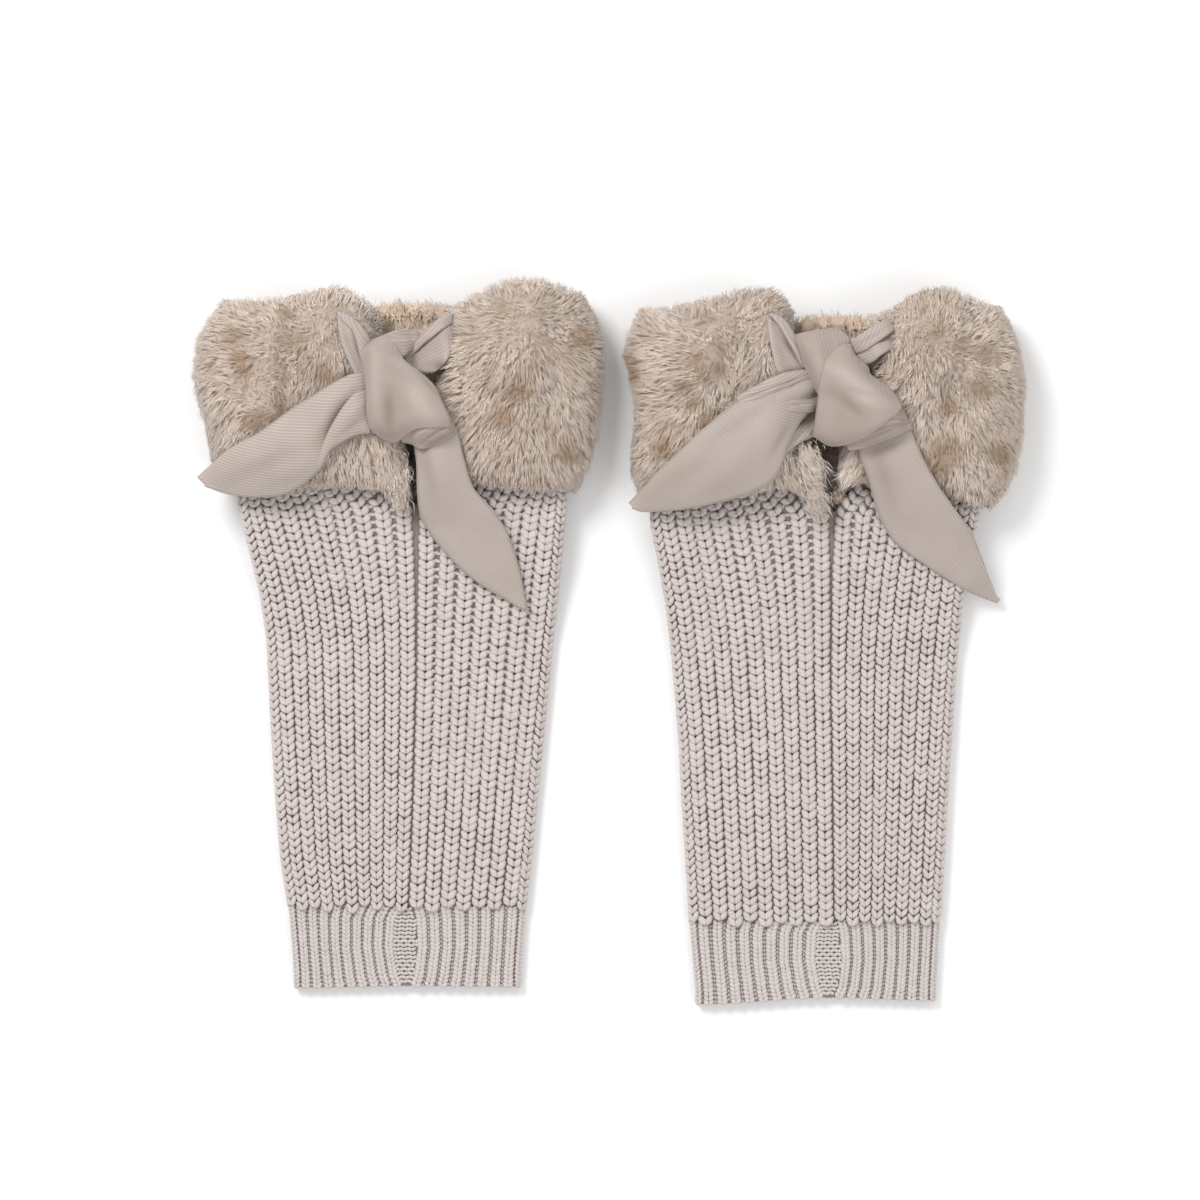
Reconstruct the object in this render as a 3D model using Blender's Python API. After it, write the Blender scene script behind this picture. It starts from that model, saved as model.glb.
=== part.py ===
# A pair of knitted leg warmers with folded faux fur cuffs and ribbon bows, laid flat side by side.
#
# Each leg warmer lies on its back with its hem towards -Y and its fur cuff towards +Y. It is a tube of
# wide rib knit, a finer ribbed hem, a doubled fur cuff that is slit down the front, and one ribbon that
# comes out beside the slit, is tied over it and ends in two tails.
#
# Sizes are in millimetres. In a leg warmer's own frame, "across" runs to the right from its middle,
# "up" runs from the hem to the cuff, and "z" is the height above the surface that it lies on.

import math
from collections import namedtuple

import bmesh
import bpy
import numpy as np
from mathutils import Vector
from mathutils.bvhtree import BVHTree

# Driving sizes
MM = 0.001
GAP = 0.3
RIBBON_GAP = 0.45
KNIT_WALL = 4.0
KNIT_RIB_HEIGHT = 1.5
HEM_WALL = 3.0
HEM_RIB_HEIGHT = 0.9
HEM_HEIGHT = 40.5
LAYER_GAP = 0.6
KNIT_THICKNESS = 2 * KNIT_WALL + LAYER_GAP
HEM_THICKNESS = 2 * HEM_WALL + LAYER_GAP
CUFF_BACK = 10.0
CUFF_FRONT = 20.0
MOUTH_GAP = 3.0
KNIT_TOP = 296.0
NOTCH_REACH = 58.0
LIFT_START = 165.0
LIFT_END = 224.0
RIBBON = 1.2
DRAPE_SLOPE = 0.55
DRAPE_STEP = 3.0
DRAPE_REACH = 45.0

# What each loft is made with
KNIT_RINGS = 12
HEM_RINGS = 3
BACK_POINTS = 9
SIDE_POINTS = 3
FRONT_STATIONS = 14
SIDE_STATIONS = 5
BACK_STATIONS = 9
INNER_POINTS = 7
OUTER_POINTS = 12

# The knit tube's edges, from the hem up to where the cuff hides it
Edge = namedtuple("Edge", "up left right seam")
# The cuff's outline from the side, and the two edges of its slit
CuffEdge = namedtuple("CuffEdge", "up left right slit_left slit_right")
# The cuff's fold line and its free edge, from one side of the front to the other
CuffRim = namedtuple("CuffRim", "across top bottom")
# A soft swelling or, with a height below 0, a hollow in the fur
Swell = namedtuple("Swell", "across up reach_across reach_up turn height")
# One line across a ribbon: its two edges and how far it stands off what it lies on
Line = namedtuple("Line", "a_across a_up b_across b_up off")
# The almond of plain knitting between the hem's ribs
Almond = namedtuple("Almond", "up left right")

LegWarmer = namedtuple(
    "LegWarmer",
    "name place hem_left hem_middle hem_right knit_ribs hem_ribs knit cuff rim swells almond ribbons",
)

LEFT = LegWarmer(
    name="left",
    place=(-97.7, -167.0),
    hem_left=0.0,
    hem_middle=0.8,
    hem_right=0.4,
    knit_ribs=(9, 7),
    hem_ribs=(9, 8),
    knit=[
        Edge(0, -54.5, 54.5, -0.5),
        Edge(41, -57.8, 57.4, 0.5),
        Edge(62, -61.2, 59.8, 1.5),
        Edge(91, -63.6, 62.6, 2.5),
        Edge(120, -65.5, 65.5, 3.5),
        Edge(149, -67.0, 68.4, 4.0),
        Edge(178, -68.9, 71.3, 4.2),
        Edge(206, -74.6, 74.2, 4.2),
        Edge(235, -81.4, 76.6, 4.0),
        Edge(260, -82.5, 78.0, 3.5),
        Edge(340, -82.5, 79.0, 3.0),
    ],
    cuff=[
        CuffEdge(229, -91.0, 84.0, 2.0, 5.0),
        CuffEdge(245, -95.8, 88.0, 2.0, 5.6),
        CuffEdge(259, -96.2, 91.4, 1.0, 6.8),
        CuffEdge(274, -98.6, 93.8, -2.2, 10.3),
        CuffEdge(288, -103.0, 95.3, -6.0, 13.2),
        CuffEdge(302, -103.9, 96.2, -8.9, 15.1),
        CuffEdge(317, -101.0, 95.8, -10.8, 16.6),
        CuffEdge(329, -94.0, 91.0, -12.7, 19.0),
        CuffEdge(342, -86.0, 84.0, -14.0, 22.0),
    ],
    rim=[
        CuffRim(-90, 329.5, 243.0),
        CuffRim(-80, 332.0, 240.0),
        CuffRim(-55, 333.0, 240.0),
        CuffRim(-36, 337.0, 241.0),
        CuffRim(-22, 337.5, 240.0),
        CuffRim(-13, 331.5, 238.0),
        CuffRim(1, 326.0, 232.0),
        CuffRim(7, 326.0, 236.0),
        CuffRim(19, 331.0, 241.0),
        CuffRim(30, 336.0, 244.0),
        CuffRim(40, 341.0, 242.5),
        CuffRim(54, 342.5, 239.5),
        CuffRim(70, 339.0, 239.0),
        CuffRim(88, 330.0, 240.5),
    ],
    swells=[
        Swell(-78, 292, 20, 34, 0, 4.0),
        Swell(-54, 305, 5, 30, 0, -7.0),
        Swell(-34, 310, 13, 30, 0, 3.5),
        Swell(-46, 268, 16, 12, 35, -2.5),
        Swell(52, 300, 30, 34, -20, 6.0),
        Swell(45, 272, 8, 26, 40, -3.5),
        Swell(74, 262, 16, 16, 0, 2.5),
        Swell(22, 258, 10, 12, 0, -5.0),
    ],
    almond=[Almond(0, -3.0, 1.5), Almond(20, -6.5, 4.0), Almond(36, -4.5, 3.5), Almond(41, -1.0, 2.0)],
    ribbons={
        "band_left": [
            Line(-30.5, 323.0, -26.0, 325.0, 0.0),
            Line(-29.6, 313.0, -19.5, 314.5, 0.6),
            Line(-26.4, 302.0, -16.0, 307.0, 0.6),
            Line(-20.5, 292.0, -12.5, 298.0, 0.0),
        ],
        "band_right": [
            Line(22.0, 321.0, 20.5, 295.0, 0.0),
            Line(12.5, 318.0, 11.5, 294.5, 0.8),
            Line(3.5, 310.0, 3.6, 297.5, 0.6),
            Line(-3.1, 305.0, -2.2, 296.6, 0.0),
        ],
        "tail_left": [
            Line(-11.5, 293.0, -12.0, 268.5, 0.0),
            Line(-20.0, 290.5, -21.0, 264.5, 0.4),
            Line(-29.5, 286.6, -30.5, 259.5, 1.6),
            Line(-43.9, 278.4, -37.0, 250.0, 2.6),
            Line(-60.7, 267.8, -45.4, 241.2, 2.0),
            Line(-77.5, 258.2, -58.3, 236.4, 1.0),
            Line(-88.6, 252.0, -75.1, 237.3, 0.6),
            Line(-96.6, 248.0, -93.5, 243.0, 0.2),
        ],
        "tail_right": [
            Line(5.5, 272.0, 20.0, 277.0, 0.0),
            Line(4.2, 262.5, 25.0, 266.5, 0.3),
            Line(5.4, 252.5, 27.6, 255.5, 1.2),
            Line(5.6, 240.0, 32.0, 241.5, 2.0),
            Line(6.8, 229.0, 39.2, 233.0, 2.2),
            Line(12.2, 218.4, 47.0, 222.5, 1.4),
            Line(23.3, 205.4, 51.6, 211.0, 0.8),
            Line(35.3, 195.4, 55.0, 197.8, 0.4),
            Line(49.5, 187.0, 57.2, 184.6, 0.0),
        ],
        "knot": [
            Line(-11.0, 313.5, 2.5, 313.0, 4.5),
            Line(-17.5, 309.0, 4.6, 306.0, 8.5),
            Line(-18.8, 299.0, 9.4, 298.0, 11.5),
            Line(-18.6, 288.0, 17.5, 289.0, 13.0),
            Line(-18.4, 278.4, 21.4, 279.6, 13.0),
            Line(-16.4, 270.6, 24.6, 271.6, 11.0),
            Line(-10.3, 265.0, 23.6, 265.4, 8.0),
            Line(-4.5, 261.8, 12.0, 261.2, 4.0),
        ],
    },
)

RIGHT = LegWarmer(
    name="right",
    place=(99.4, -174.2),
    hem_left=-0.9,
    hem_middle=2.4,
    hem_right=1.0,
    knit_ribs=(9, 8),
    hem_ribs=(9, 8),
    knit=[
        Edge(0, -57.6, 57.6, 7.0),
        Edge(41, -61.4, 60.0, 8.5),
        Edge(69, -62.9, 61.9, 8.5),
        Edge(97, -64.8, 63.4, 8.0),
        Edge(126, -66.2, 65.3, 7.6),
        Edge(155, -68.6, 67.2, 7.0),
        Edge(184, -71.5, 69.6, 7.0),
        Edge(213, -76.3, 72.5, 7.2),
        Edge(234, -80.2, 77.6, 7.6),
        Edge(260, -81.0, 80.6, 7.6),
        Edge(345, -81.0, 81.0, 7.6),
    ],
    cuff=[
        CuffEdge(233, -85.0, 90.0, 6.2, 9.0),
        CuffEdge(247, -88.8, 95.5, -1.0, 10.1),
        CuffEdge(259, -90.7, 98.4, -7.0, 9.4),
        CuffEdge(271, -89.3, 100.6, -9.6, 10.4),
        CuffEdge(286, -87.2, 100.3, -10.5, 15.8),
        CuffEdge(300, -90.7, 102.2, -10.6, 21.6),
        CuffEdge(314, -94.0, 99.8, -10.8, 24.5),
        CuffEdge(329, -89.5, 96.0, -11.0, 25.0),
        CuffEdge(345, -82.0, 88.0, -11.5, 27.0),
    ],
    rim=[
        CuffRim(-88, 330.0, 247.0),
        CuffRim(-80, 334.6, 243.5),
        CuffRim(-60, 337.6, 242.0),
        CuffRim(-38, 343.2, 243.5),
        CuffRim(-27, 345.0, 247.5),
        CuffRim(-16, 342.0, 243.0),
        CuffRim(-8, 332.0, 238.5),
        CuffRim(6, 328.0, 235.6),
        CuffRim(10, 328.0, 240.0),
        CuffRim(24, 334.5, 250.0),
        CuffRim(32, 339.0, 251.5),
        CuffRim(43, 344.4, 250.5),
        CuffRim(52, 345.0, 248.5),
        CuffRim(66, 342.0, 243.5),
        CuffRim(80, 336.4, 238.6),
        CuffRim(92, 330.0, 239.5),
    ],
    swells=[
        Swell(-72, 318, 22, 20, 10, 4.5),
        Swell(-38, 312, 6, 24, -18, -7.0),
        Swell(-24, 318, 12, 26, 0, 3.5),
        Swell(-76, 284, 14, 7, 0, -4.5),
        Swell(-66, 262, 18, 14, 0, 2.5),
        Swell(44, 312, 16, 30, 15, 5.0),
        Swell(69, 300, 6, 34, -24, -6.0),
        Swell(86, 292, 16, 34, 0, 3.5),
        Swell(72, 262, 24, 14, 0, 3.0),
        Swell(20, 258, 12, 12, 0, -5.0),
    ],
    almond=[Almond(0, 5.5, 9.5), Almond(20, 1.2, 11.4), Almond(36, 0.4, 11.0), Almond(41, 3.0, 9.5)],
    ribbons={
        "band_left": [
            Line(-22.5, 326.0, -17.5, 329.0, 0.0),
            Line(-22.0, 316.0, -11.5, 320.0, 0.8),
            Line(-18.7, 305.5, -7.5, 312.0, 0.8),
            Line(-9.5, 300.5, -2.4, 303.8, 0.0),
        ],
        "band_right": [
            Line(32.0, 326.0, 32.5, 308.0, 0.0),
            Line(25.4, 323.5, 26.5, 305.5, 1.0),
            Line(16.5, 316.5, 20.5, 303.0, 0.6),
            Line(9.5, 311.0, 15.5, 300.0, 0.0),
        ],
        "tail_left": [
            Line(2.6, 301.5, 1.8, 279.5, 0.0),
            Line(-9.0, 302.0, -7.5, 274.0, 0.6),
            Line(-21.0, 298.0, -14.0, 264.5, 2.4),
            Line(-37.9, 289.6, -20.4, 254.2, 3.4),
            Line(-53.8, 277.0, -31.2, 246.6, 2.6),
            Line(-66.7, 265.0, -49.0, 241.4, 1.6),
            Line(-77.8, 254.4, -65.8, 238.4, 0.8),
            Line(-88.4, 242.2, -83.5, 237.4, 0.2),
        ],
        "tail_right": [
            Line(22.0, 278.0, 38.0, 284.0, 0.0),
            Line(21.6, 268.0, 43.2, 275.6, 0.3),
            Line(23.4, 258.0, 49.0, 264.5, 1.4),
            Line(26.4, 247.2, 56.4, 252.0, 2.4),
            Line(30.2, 234.6, 64.2, 239.6, 2.6),
            Line(38.0, 222.6, 72.3, 228.2, 1.8),
            Line(54.2, 210.8, 77.3, 218.6, 1.0),
            Line(70.6, 201.2, 82.0, 207.2, 0.5),
            Line(84.0, 195.0, 87.6, 194.6, 0.0),
        ],
        "knot": [
            Line(-11.4, 323.0, 9.0, 323.6, 5.0),
            Line(-10.0, 316.2, 14.6, 316.6, 8.5),
            Line(-6.9, 309.2, 19.4, 309.0, 11.5),
            Line(-2.6, 299.4, 24.8, 300.6, 13.5),
            Line(-0.6, 289.6, 36.0, 291.4, 14.0),
            Line(-1.6, 280.4, 41.6, 281.4, 12.5),
            Line(-1.6, 272.8, 42.6, 274.0, 9.0),
            Line(6.6, 268.0, 25.0, 267.6, 4.5),
        ],
    },
)

# Colour and roughness of each cloth
CLOTHS = {
    "knit": ((0.66, 0.60, 0.57), 0.95),
    "hem": ((0.65, 0.61, 0.58), 0.95),
    "fur": ((0.64, 0.53, 0.43), 0.9),
    "ribbon": ((0.52, 0.44, 0.40), 0.5),
}


def clear_scene():
    for obj in list(bpy.data.objects):
        bpy.data.objects.remove(obj, do_unlink=True)


def smooth_step(share):
    share = min(max(share, 0.0), 1.0)
    return share * share * (3 - 2 * share)


def lerp(a, b, share):
    return a + (b - a) * share


def read_table(rows, column, at):
    """A column's value on a smooth curve through the rows of a table. The first column is the key."""
    keys = [row[0] for row in rows]
    values = [getattr(row, column) for row in rows]
    at = min(max(at, keys[0]), keys[-1])
    i = max(k for k in range(len(keys) - 1) if keys[k] <= at)
    width = keys[i + 1] - keys[i]
    share = (at - keys[i]) / width

    def slope(k):
        low, high = max(k - 1, 0), min(k + 1, len(keys) - 1)
        return (values[high] - values[low]) / (keys[high] - keys[low])

    s2, s3 = share**2, share**3
    return (
        (2 * s3 - 3 * s2 + 1) * values[i]
        + (s3 - 2 * s2 + share) * width * slope(i)
        + (3 * s2 - 2 * s3) * values[i + 1]
        + (s3 - s2) * width * slope(i + 1)
    )


def new_material(cloth):
    colour, roughness = CLOTHS[cloth]
    material = bpy.data.materials.new(cloth)
    material.use_nodes = True
    shader = material.node_tree.nodes["Principled BSDF"]
    shader.inputs["Base Color"].default_value = (*colour, 1)
    shader.inputs["Roughness"].default_value = roughness
    shader.inputs["Metallic"].default_value = 0
    return material


def new_object(name, mesh_data, leg, cloth, collection):
    """A named object from a bmesh in a leg warmer's own millimetres, set down at its leg warmer's place."""
    bmesh.ops.recalc_face_normals(mesh_data, faces=mesh_data.faces)
    bmesh.ops.triangulate(mesh_data, faces=[f for f in mesh_data.faces if len(f.verts) > 3])
    bmesh.ops.scale(mesh_data, vec=(MM, MM, MM), verts=mesh_data.verts)
    mesh = bpy.data.meshes.new(name)
    mesh_data.to_mesh(mesh)
    mesh_data.free()
    mesh.materials.append(bpy.data.materials.get(cloth) or new_material(cloth))
    mesh.shade_smooth()
    mesh.set_sharp_from_angle(angle=math.radians(50))
    obj = bpy.data.objects.new(name, mesh)
    obj.location = (leg.place[0] * MM, leg.place[1] * MM, 0)
    collection.objects.link(obj)
    return obj


def loft(rings, capped):
    """Faces between rings with the same count of points. The ends are capped or joined to each other."""
    mesh_data = bmesh.new()
    loops = [[mesh_data.verts.new(point) for point in ring] for ring in rings]
    count = len(loops[0])
    pairs = list(zip(loops[:-1], loops[1:]))
    if not capped:
        pairs.append((loops[-1], loops[0]))
    for one, other in pairs:
        for i in range(count):
            j = (i + 1) % count
            mesh_data.faces.new((one[i], one[j], other[j], other[i]))
    if capped:
        mesh_data.faces.new(loops[0])
        mesh_data.faces.new(list(reversed(loops[-1])))
    return mesh_data


def lift_at(up):
    """How far the knit's underside rises off the surface as it climbs onto the back of the cuff."""
    return (CUFF_BACK + GAP) * smooth_step((up - LIFT_START) / (LIFT_END - LIFT_START))


def rib_layout(ribs):
    """(side, share of the way, height above the valleys) across the front, three points to a rib."""
    points = []
    for side, count in zip(("left", "right"), ribs):
        for rib in range(count):
            for within, height in ((0.0, 0.0), (0.28, 1.0), (0.72, 1.0)):
                points.append((side, (rib + within) / count, height))
    points.append(("right", 1.0, 0.0))
    return points


def tube_ring(leg, ribs, ups, thickness, rib_height, inset, almond=None):
    """One ring of a flattened tube: the front from left to right, then the right side, back and left side.

    ups gives the height up the leg at a place across. inset is 0 for the outer face, and the wall for the
    inner one.
    """
    radius = thickness / 2
    inner = inset > 0
    ring = []
    for side, share, height in rib_layout(ribs):
        up = ups(share if side == "left" else 1 + share)
        left = read_table(leg.knit, "left", up) + radius
        right = read_table(leg.knit, "right", up) - radius
        seam_left = seam_right = read_table(leg.knit, "seam", up)
        if almond:
            seam_left = read_table(almond, "left", up)
            seam_right = read_table(almond, "right", up)
        across = lerp(left, seam_left, share) if side == "left" else lerp(seam_right, right, share)
        top = lift_at(up) + thickness - (inset if inner else rib_height * (1 - height))
        ring.append((across, up, top))
    for turn in range(1, SIDE_POINTS + 1):
        ring.append(side_point(leg, ups(2.0), thickness, inset, math.pi * turn / (SIDE_POINTS + 1), 1))
    for i in range(BACK_POINTS):
        share = i / (BACK_POINTS - 1)
        up = ups(None)
        left = read_table(leg.knit, "left", up) + radius
        right = read_table(leg.knit, "right", up) - radius
        ring.append((lerp(right, left, share), up, lift_at(up) + inset))
    for turn in range(SIDE_POINTS, 0, -1):
        ring.append(side_point(leg, ups(0.0), thickness, inset, math.pi * turn / (SIDE_POINTS + 1), -1))
    return ring


def side_point(leg, up, thickness, inset, angle, side):
    """A point on the rounded fold at a tube's side. angle 0 is the front face and half a turn the back."""
    radius = thickness / 2
    edge = read_table(leg.knit, "right" if side > 0 else "left", up)
    middle = edge - side * radius
    reach = radius - inset
    return (
        middle + side * reach * math.sin(angle),
        up,
        lift_at(up) + radius + reach * math.cos(angle),
    )


def make_tube(leg, ribs, ups_of_ring, rings, thickness, wall, rib_height, almond=None):
    """A flattened tube with ribs on its front. Its outer rings go up, and its inner ones come back down."""
    outer = []
    inner = []
    for i in range(rings + 1):
        ups = ups_of_ring(i / rings)
        outer.append(tube_ring(leg, ribs, ups, thickness, rib_height, 0, almond))
        inner.append(tube_ring(leg, ribs, ups, thickness, rib_height, wall, almond))
    return loft(outer + inner[::-1], capped=False)


def hem_edge(leg, place):
    """The hem's lower edge at a place across the front, 0 at the left side, 1 at the seam, 2 at the right."""
    if place is None:
        return 0.0
    if place <= 1:
        return lerp(leg.hem_left, leg.hem_middle, smooth_step(place))
    return lerp(leg.hem_middle, leg.hem_right, smooth_step(place - 1))


def knit_top_edge(leg, place):
    """The knit's upper edge, which dips to the foot of the slit at the front."""
    if place is None:
        return KNIT_TOP
    half_width = read_table(leg.knit, "right", KNIT_TOP)
    from_seam = abs(1 - place) * half_width
    foot = leg.cuff[0].up - 2.0
    return lerp(foot, KNIT_TOP, smooth_step(from_seam / NOTCH_REACH))


def make_hem(leg, collection):
    def ups_of_ring(share):
        return lambda place: lerp(hem_edge(leg, place), HEM_HEIGHT, share)

    tube = make_tube(
        leg, leg.hem_ribs, ups_of_ring, HEM_RINGS, HEM_THICKNESS, HEM_WALL, HEM_RIB_HEIGHT, leg.almond
    )
    return new_object(f"{leg.name}_hem_rib", tube, leg, "hem", collection)


def make_knit(leg, collection):
    def ups_of_ring(share):
        return lambda place: lerp(HEM_HEIGHT + GAP, knit_top_edge(leg, place), share)

    tube = make_tube(
        leg, leg.knit_ribs, ups_of_ring, KNIT_RINGS, KNIT_THICKNESS, KNIT_WALL, KNIT_RIB_HEIGHT
    )
    return new_object(f"{leg.name}_knit_body", tube, leg, "knit", collection)


def swell_at(leg, across, up):
    """The sum of the fur's swellings and hollows at a place on the cuff's front."""
    total = 0.0
    for swell in leg.swells:
        turn = math.radians(swell.turn)
        dx, dy = across - swell.across, up - swell.up
        along = (dx * math.cos(turn) + dy * math.sin(turn)) / swell.reach_across
        beside = (dy * math.cos(turn) - dx * math.sin(turn)) / swell.reach_up
        total += swell.height * math.exp(-(along**2) - beside**2)
    return total


def mouth_share(up):
    """0 where the cuff wraps the knit, and 1 at the mouth, where its two layers close on each other."""
    return smooth_step((up - KNIT_TOP - 9) / 21)


def inner_faces(up):
    """Heights of the cuff's inner back face and inner front face."""
    back, front = CUFF_BACK, CUFF_BACK + 2 * GAP + KNIT_THICKNESS
    middle = (back + front) / 2
    share = mouth_share(up)
    return lerp(back, middle - MOUTH_GAP / 2, share), lerp(front, middle + MOUTH_GAP / 2, share)


def station_rim(leg, across, on_back):
    """(fold line, free edge) of the cuff at a place across. The back's free edge is plain."""
    top = read_table(leg.rim, "top", across)
    bottom = read_table(leg.rim, "bottom", across)
    if on_back:
        ends = leg.rim[0].across, leg.rim[-1].across
        share = smooth_step(min(across - ends[0], ends[1] - across) / 30)
        top = lerp(top, leg.rim[len(leg.rim) // 2].top + 3.5, share)
        bottom = lerp(bottom, 241.0, share)
    return top, bottom


def cuff_point(leg, station, up, depth):
    """A point of the cuff. station is (part, share), and depth is how far it lies outside the inner face."""
    part, share = station
    inner_back, inner_front = inner_faces(up)
    radius = (inner_front - inner_back) / 2
    middle = (inner_front + inner_back) / 2
    left = read_table(leg.knit, "left", up) - GAP + radius
    right = read_table(leg.knit, "right", up) + GAP - radius
    if part == "front_left":
        slit = read_table(leg.cuff, "slit_left", up)
        return lerp(slit, left, share), up, inner_front + depth
    if part == "front_right":
        slit = read_table(leg.cuff, "slit_right", up)
        return lerp(right, slit, share), up, inner_front + depth
    if part == "back":
        return lerp(left, right, share), up, max(inner_back - depth, 0.0)
    side = -1 if part == "side_left" else 1
    angle = math.pi * (share if side < 0 else 1 - share)
    edge = left if side < 0 else right
    reach = radius + depth
    return edge + side * reach * math.sin(angle), up, max(middle + reach * math.cos(angle), 0.0)


def cuff_stations():
    """The places round the cuff, from the slit's left edge round the back to its right edge."""
    stations = [("front_left", i / (FRONT_STATIONS - 1)) for i in range(FRONT_STATIONS)]
    stations += [("side_left", (i + 1) / (SIDE_STATIONS + 1)) for i in range(SIDE_STATIONS)]
    stations += [("back", i / (BACK_STATIONS - 1)) for i in range(BACK_STATIONS)]
    stations += [("side_right", (i + 1) / (SIDE_STATIONS + 1)) for i in range(SIDE_STATIONS)]
    stations += [("front_right", i / (FRONT_STATIONS - 1)) for i in range(FRONT_STATIONS)]
    return stations


def cuff_depth(leg, station, up):
    """How thick the doubled fur is at a station."""
    part, share = station
    side_left = read_table(leg.knit, "left", up) - GAP - read_table(leg.cuff, "left", up)
    side_right = read_table(leg.cuff, "right", up) - read_table(leg.knit, "right", up) - GAP
    if part == "back":
        return CUFF_BACK + 4.0
    if part.startswith("side"):
        width = side_left if part == "side_left" else side_right
        round_front = share if part == "side_left" else 1 - share
        front_share = smooth_step(1 - 2 * round_front)
        back_share = smooth_step(2 * round_front - 1)
        return lerp(lerp(width, CUFF_FRONT, front_share * 0.5), CUFF_BACK + 4.0, back_share)
    across = cuff_point(leg, station, up, 0)[0]
    from_slit = share if part == "front_left" else 1 - share
    width = side_left if part == "front_left" else side_right
    side_share = smooth_step((from_slit - 0.75) / 0.25)
    edge_round = math.sqrt(1 - (1 - min(from_slit / 0.16, 1)) ** 2)
    full = CUFF_FRONT + swell_at(leg, across, up)
    full = lerp(full, lerp(width, CUFF_FRONT, 0.5), side_share)
    return full * lerp(0.34, 1.0, edge_round)


def cuff_section(leg, station):
    """One closed line round the doubled fur: up its inner face, over the fold and down its outer face."""
    part, share = station
    across = cuff_point(leg, station, 285, 0)[0]
    if part in ("front_left", "front_right"):
        on_back = 0.0
    elif part == "back":
        on_back = 1.0
    else:
        on_back = share if part == "side_left" else 1 - share
    front_top, front_bottom = station_rim(leg, across, False)
    back_top, back_bottom = station_rim(leg, across, True)
    top, bottom = lerp(front_top, back_top, on_back), lerp(front_bottom, back_bottom, on_back)
    section = []

    def add(share_up, outer):
        up = lerp(bottom, top, share_up)
        from_middle = abs(2 * share_up - 1)
        edge = 0.3 if share_up < 0.5 else 0.5
        depth = cuff_depth(leg, station, up)
        if outer:
            bulge = math.sqrt(1 - from_middle**3.2)
            section.append(cuff_point(leg, station, up, depth * lerp(edge, 1.0, bulge)))
        else:
            flat = math.sqrt(1 - from_middle**12)
            section.append(cuff_point(leg, station, up, depth * lerp(edge, 0.0, flat)))

    for i in range(INNER_POINTS):
        add((1 - math.cos(math.pi * i / INNER_POINTS)) / 2, outer=False)
    for i in range(OUTER_POINTS):
        add((1 + math.cos(math.pi * i / OUTER_POINTS)) / 2, outer=True)
    return section


def make_cuff(leg, collection):
    sections = [cuff_section(leg, station) for station in cuff_stations()]
    return new_object(f"{leg.name}_fur_cuff", loft(sections, capped=True), leg, "fur", collection)


def tree_of(obj):
    """A search tree of an object's faces in its leg warmer's own millimetres."""
    points = [vertex.co / MM for vertex in obj.data.vertices]
    return BVHTree.FromPolygons(points, [tuple(face.vertices) for face in obj.data.polygons])


def height_on(trees, across, up):
    """The highest surface of these trees at a place, or the surface that all lies on."""
    start, down = Vector((across, up, 500)), Vector((0, 0, -1))
    hits = [tree.ray_cast(start, down)[0] for tree in trees]
    return max([hit.z for hit in hits if hit], default=0.0)


class Drape:
    """The surface that a ribbon takes over what lies below it. It falls no steeper than DRAPE_SLOPE."""

    def __init__(self, trees, lines):
        across = [value for line in lines for value in (line.a_across, line.b_across)]
        ups = [value for line in lines for value in (line.a_up, line.b_up)]
        self.low = (min(across) - DRAPE_REACH, min(ups) - DRAPE_REACH)
        size = (max(across) + DRAPE_REACH - self.low[0], max(ups) + DRAPE_REACH - self.low[1])
        columns, rows = (int(math.ceil(length / DRAPE_STEP)) + 1 for length in size)
        below = np.array([
            [
                height_on(trees, self.low[0] + i * DRAPE_STEP, self.low[1] + j * DRAPE_STEP)
                for j in range(rows)
            ]
            for i in range(columns)
        ])
        self.heights = below.copy()
        reach = int(DRAPE_REACH / DRAPE_STEP)
        padded = np.pad(below, reach, mode="edge")
        for di in range(-reach, reach + 1):
            for dj in range(-reach, reach + 1):
                fall = DRAPE_SLOPE * DRAPE_STEP * math.hypot(di, dj)
                shifted = padded[reach + di : reach + di + columns, reach + dj : reach + dj + rows]
                self.heights = np.maximum(self.heights, shifted - fall)

    def at(self, across, up):
        x = (across - self.low[0]) / DRAPE_STEP
        y = (up - self.low[1]) / DRAPE_STEP
        i, j = int(x), int(y)
        near = self.heights[i : i + 2, j : j + 2]
        low, high = lerp(near[0], near[1], x - i)
        return float(lerp(low, high, y - j))


def spread_lines(lines, rows):
    """The table's lines across a ribbon, with smooth lines added between them."""
    keyed = namedtuple("Keyed", ("key",) + Line._fields)
    table = [keyed(i, *line) for i, line in enumerate(lines)]
    steps = [i * (len(lines) - 1) / (rows - 1) for i in range(rows)]
    return [Line(*(read_table(table, column, step) for column in Line._fields)) for step in steps]


def sample_points(obj):
    """Points all over an object: its corners, the middles of its edges and the middles of its faces."""
    mesh = obj.data
    corners = [vertex.co / MM for vertex in mesh.vertices]
    edges = [lerp(*(corners[i] for i in edge.vertices), 0.5) for edge in mesh.edges]
    faces = [sum((corners[i] for i in face.vertices), Vector()) / 3 for face in mesh.polygons]
    return corners + edges + faces


def make_draped(lines, rows, columns, crowned, trees):
    """A strip of ribbon laid over what is below. A crowned one is a lump, thickest in its middle."""
    drape = Drape(trees, lines)
    sections = []
    for line in spread_lines(lines, rows):
        under, over = [], []
        for i in range(columns + 1):
            share = i / columns
            across = lerp(line.a_across, line.b_across, share)
            up = lerp(line.a_up, line.b_up, share)
            arch = math.sin(math.pi * share)
            bottom = drape.at(across, up) + GAP + (0 if crowned else line.off * arch)
            if crowned:
                top = drape.at(across, up) + GAP + RIBBON + line.off * math.sqrt(max(arch, 0))
            else:
                top = bottom + RIBBON
            under.append((across, up, bottom))
            over.append((across, up, top))
        sections.append(under + over[::-1])
    return loft(sections, capped=True)


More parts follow.
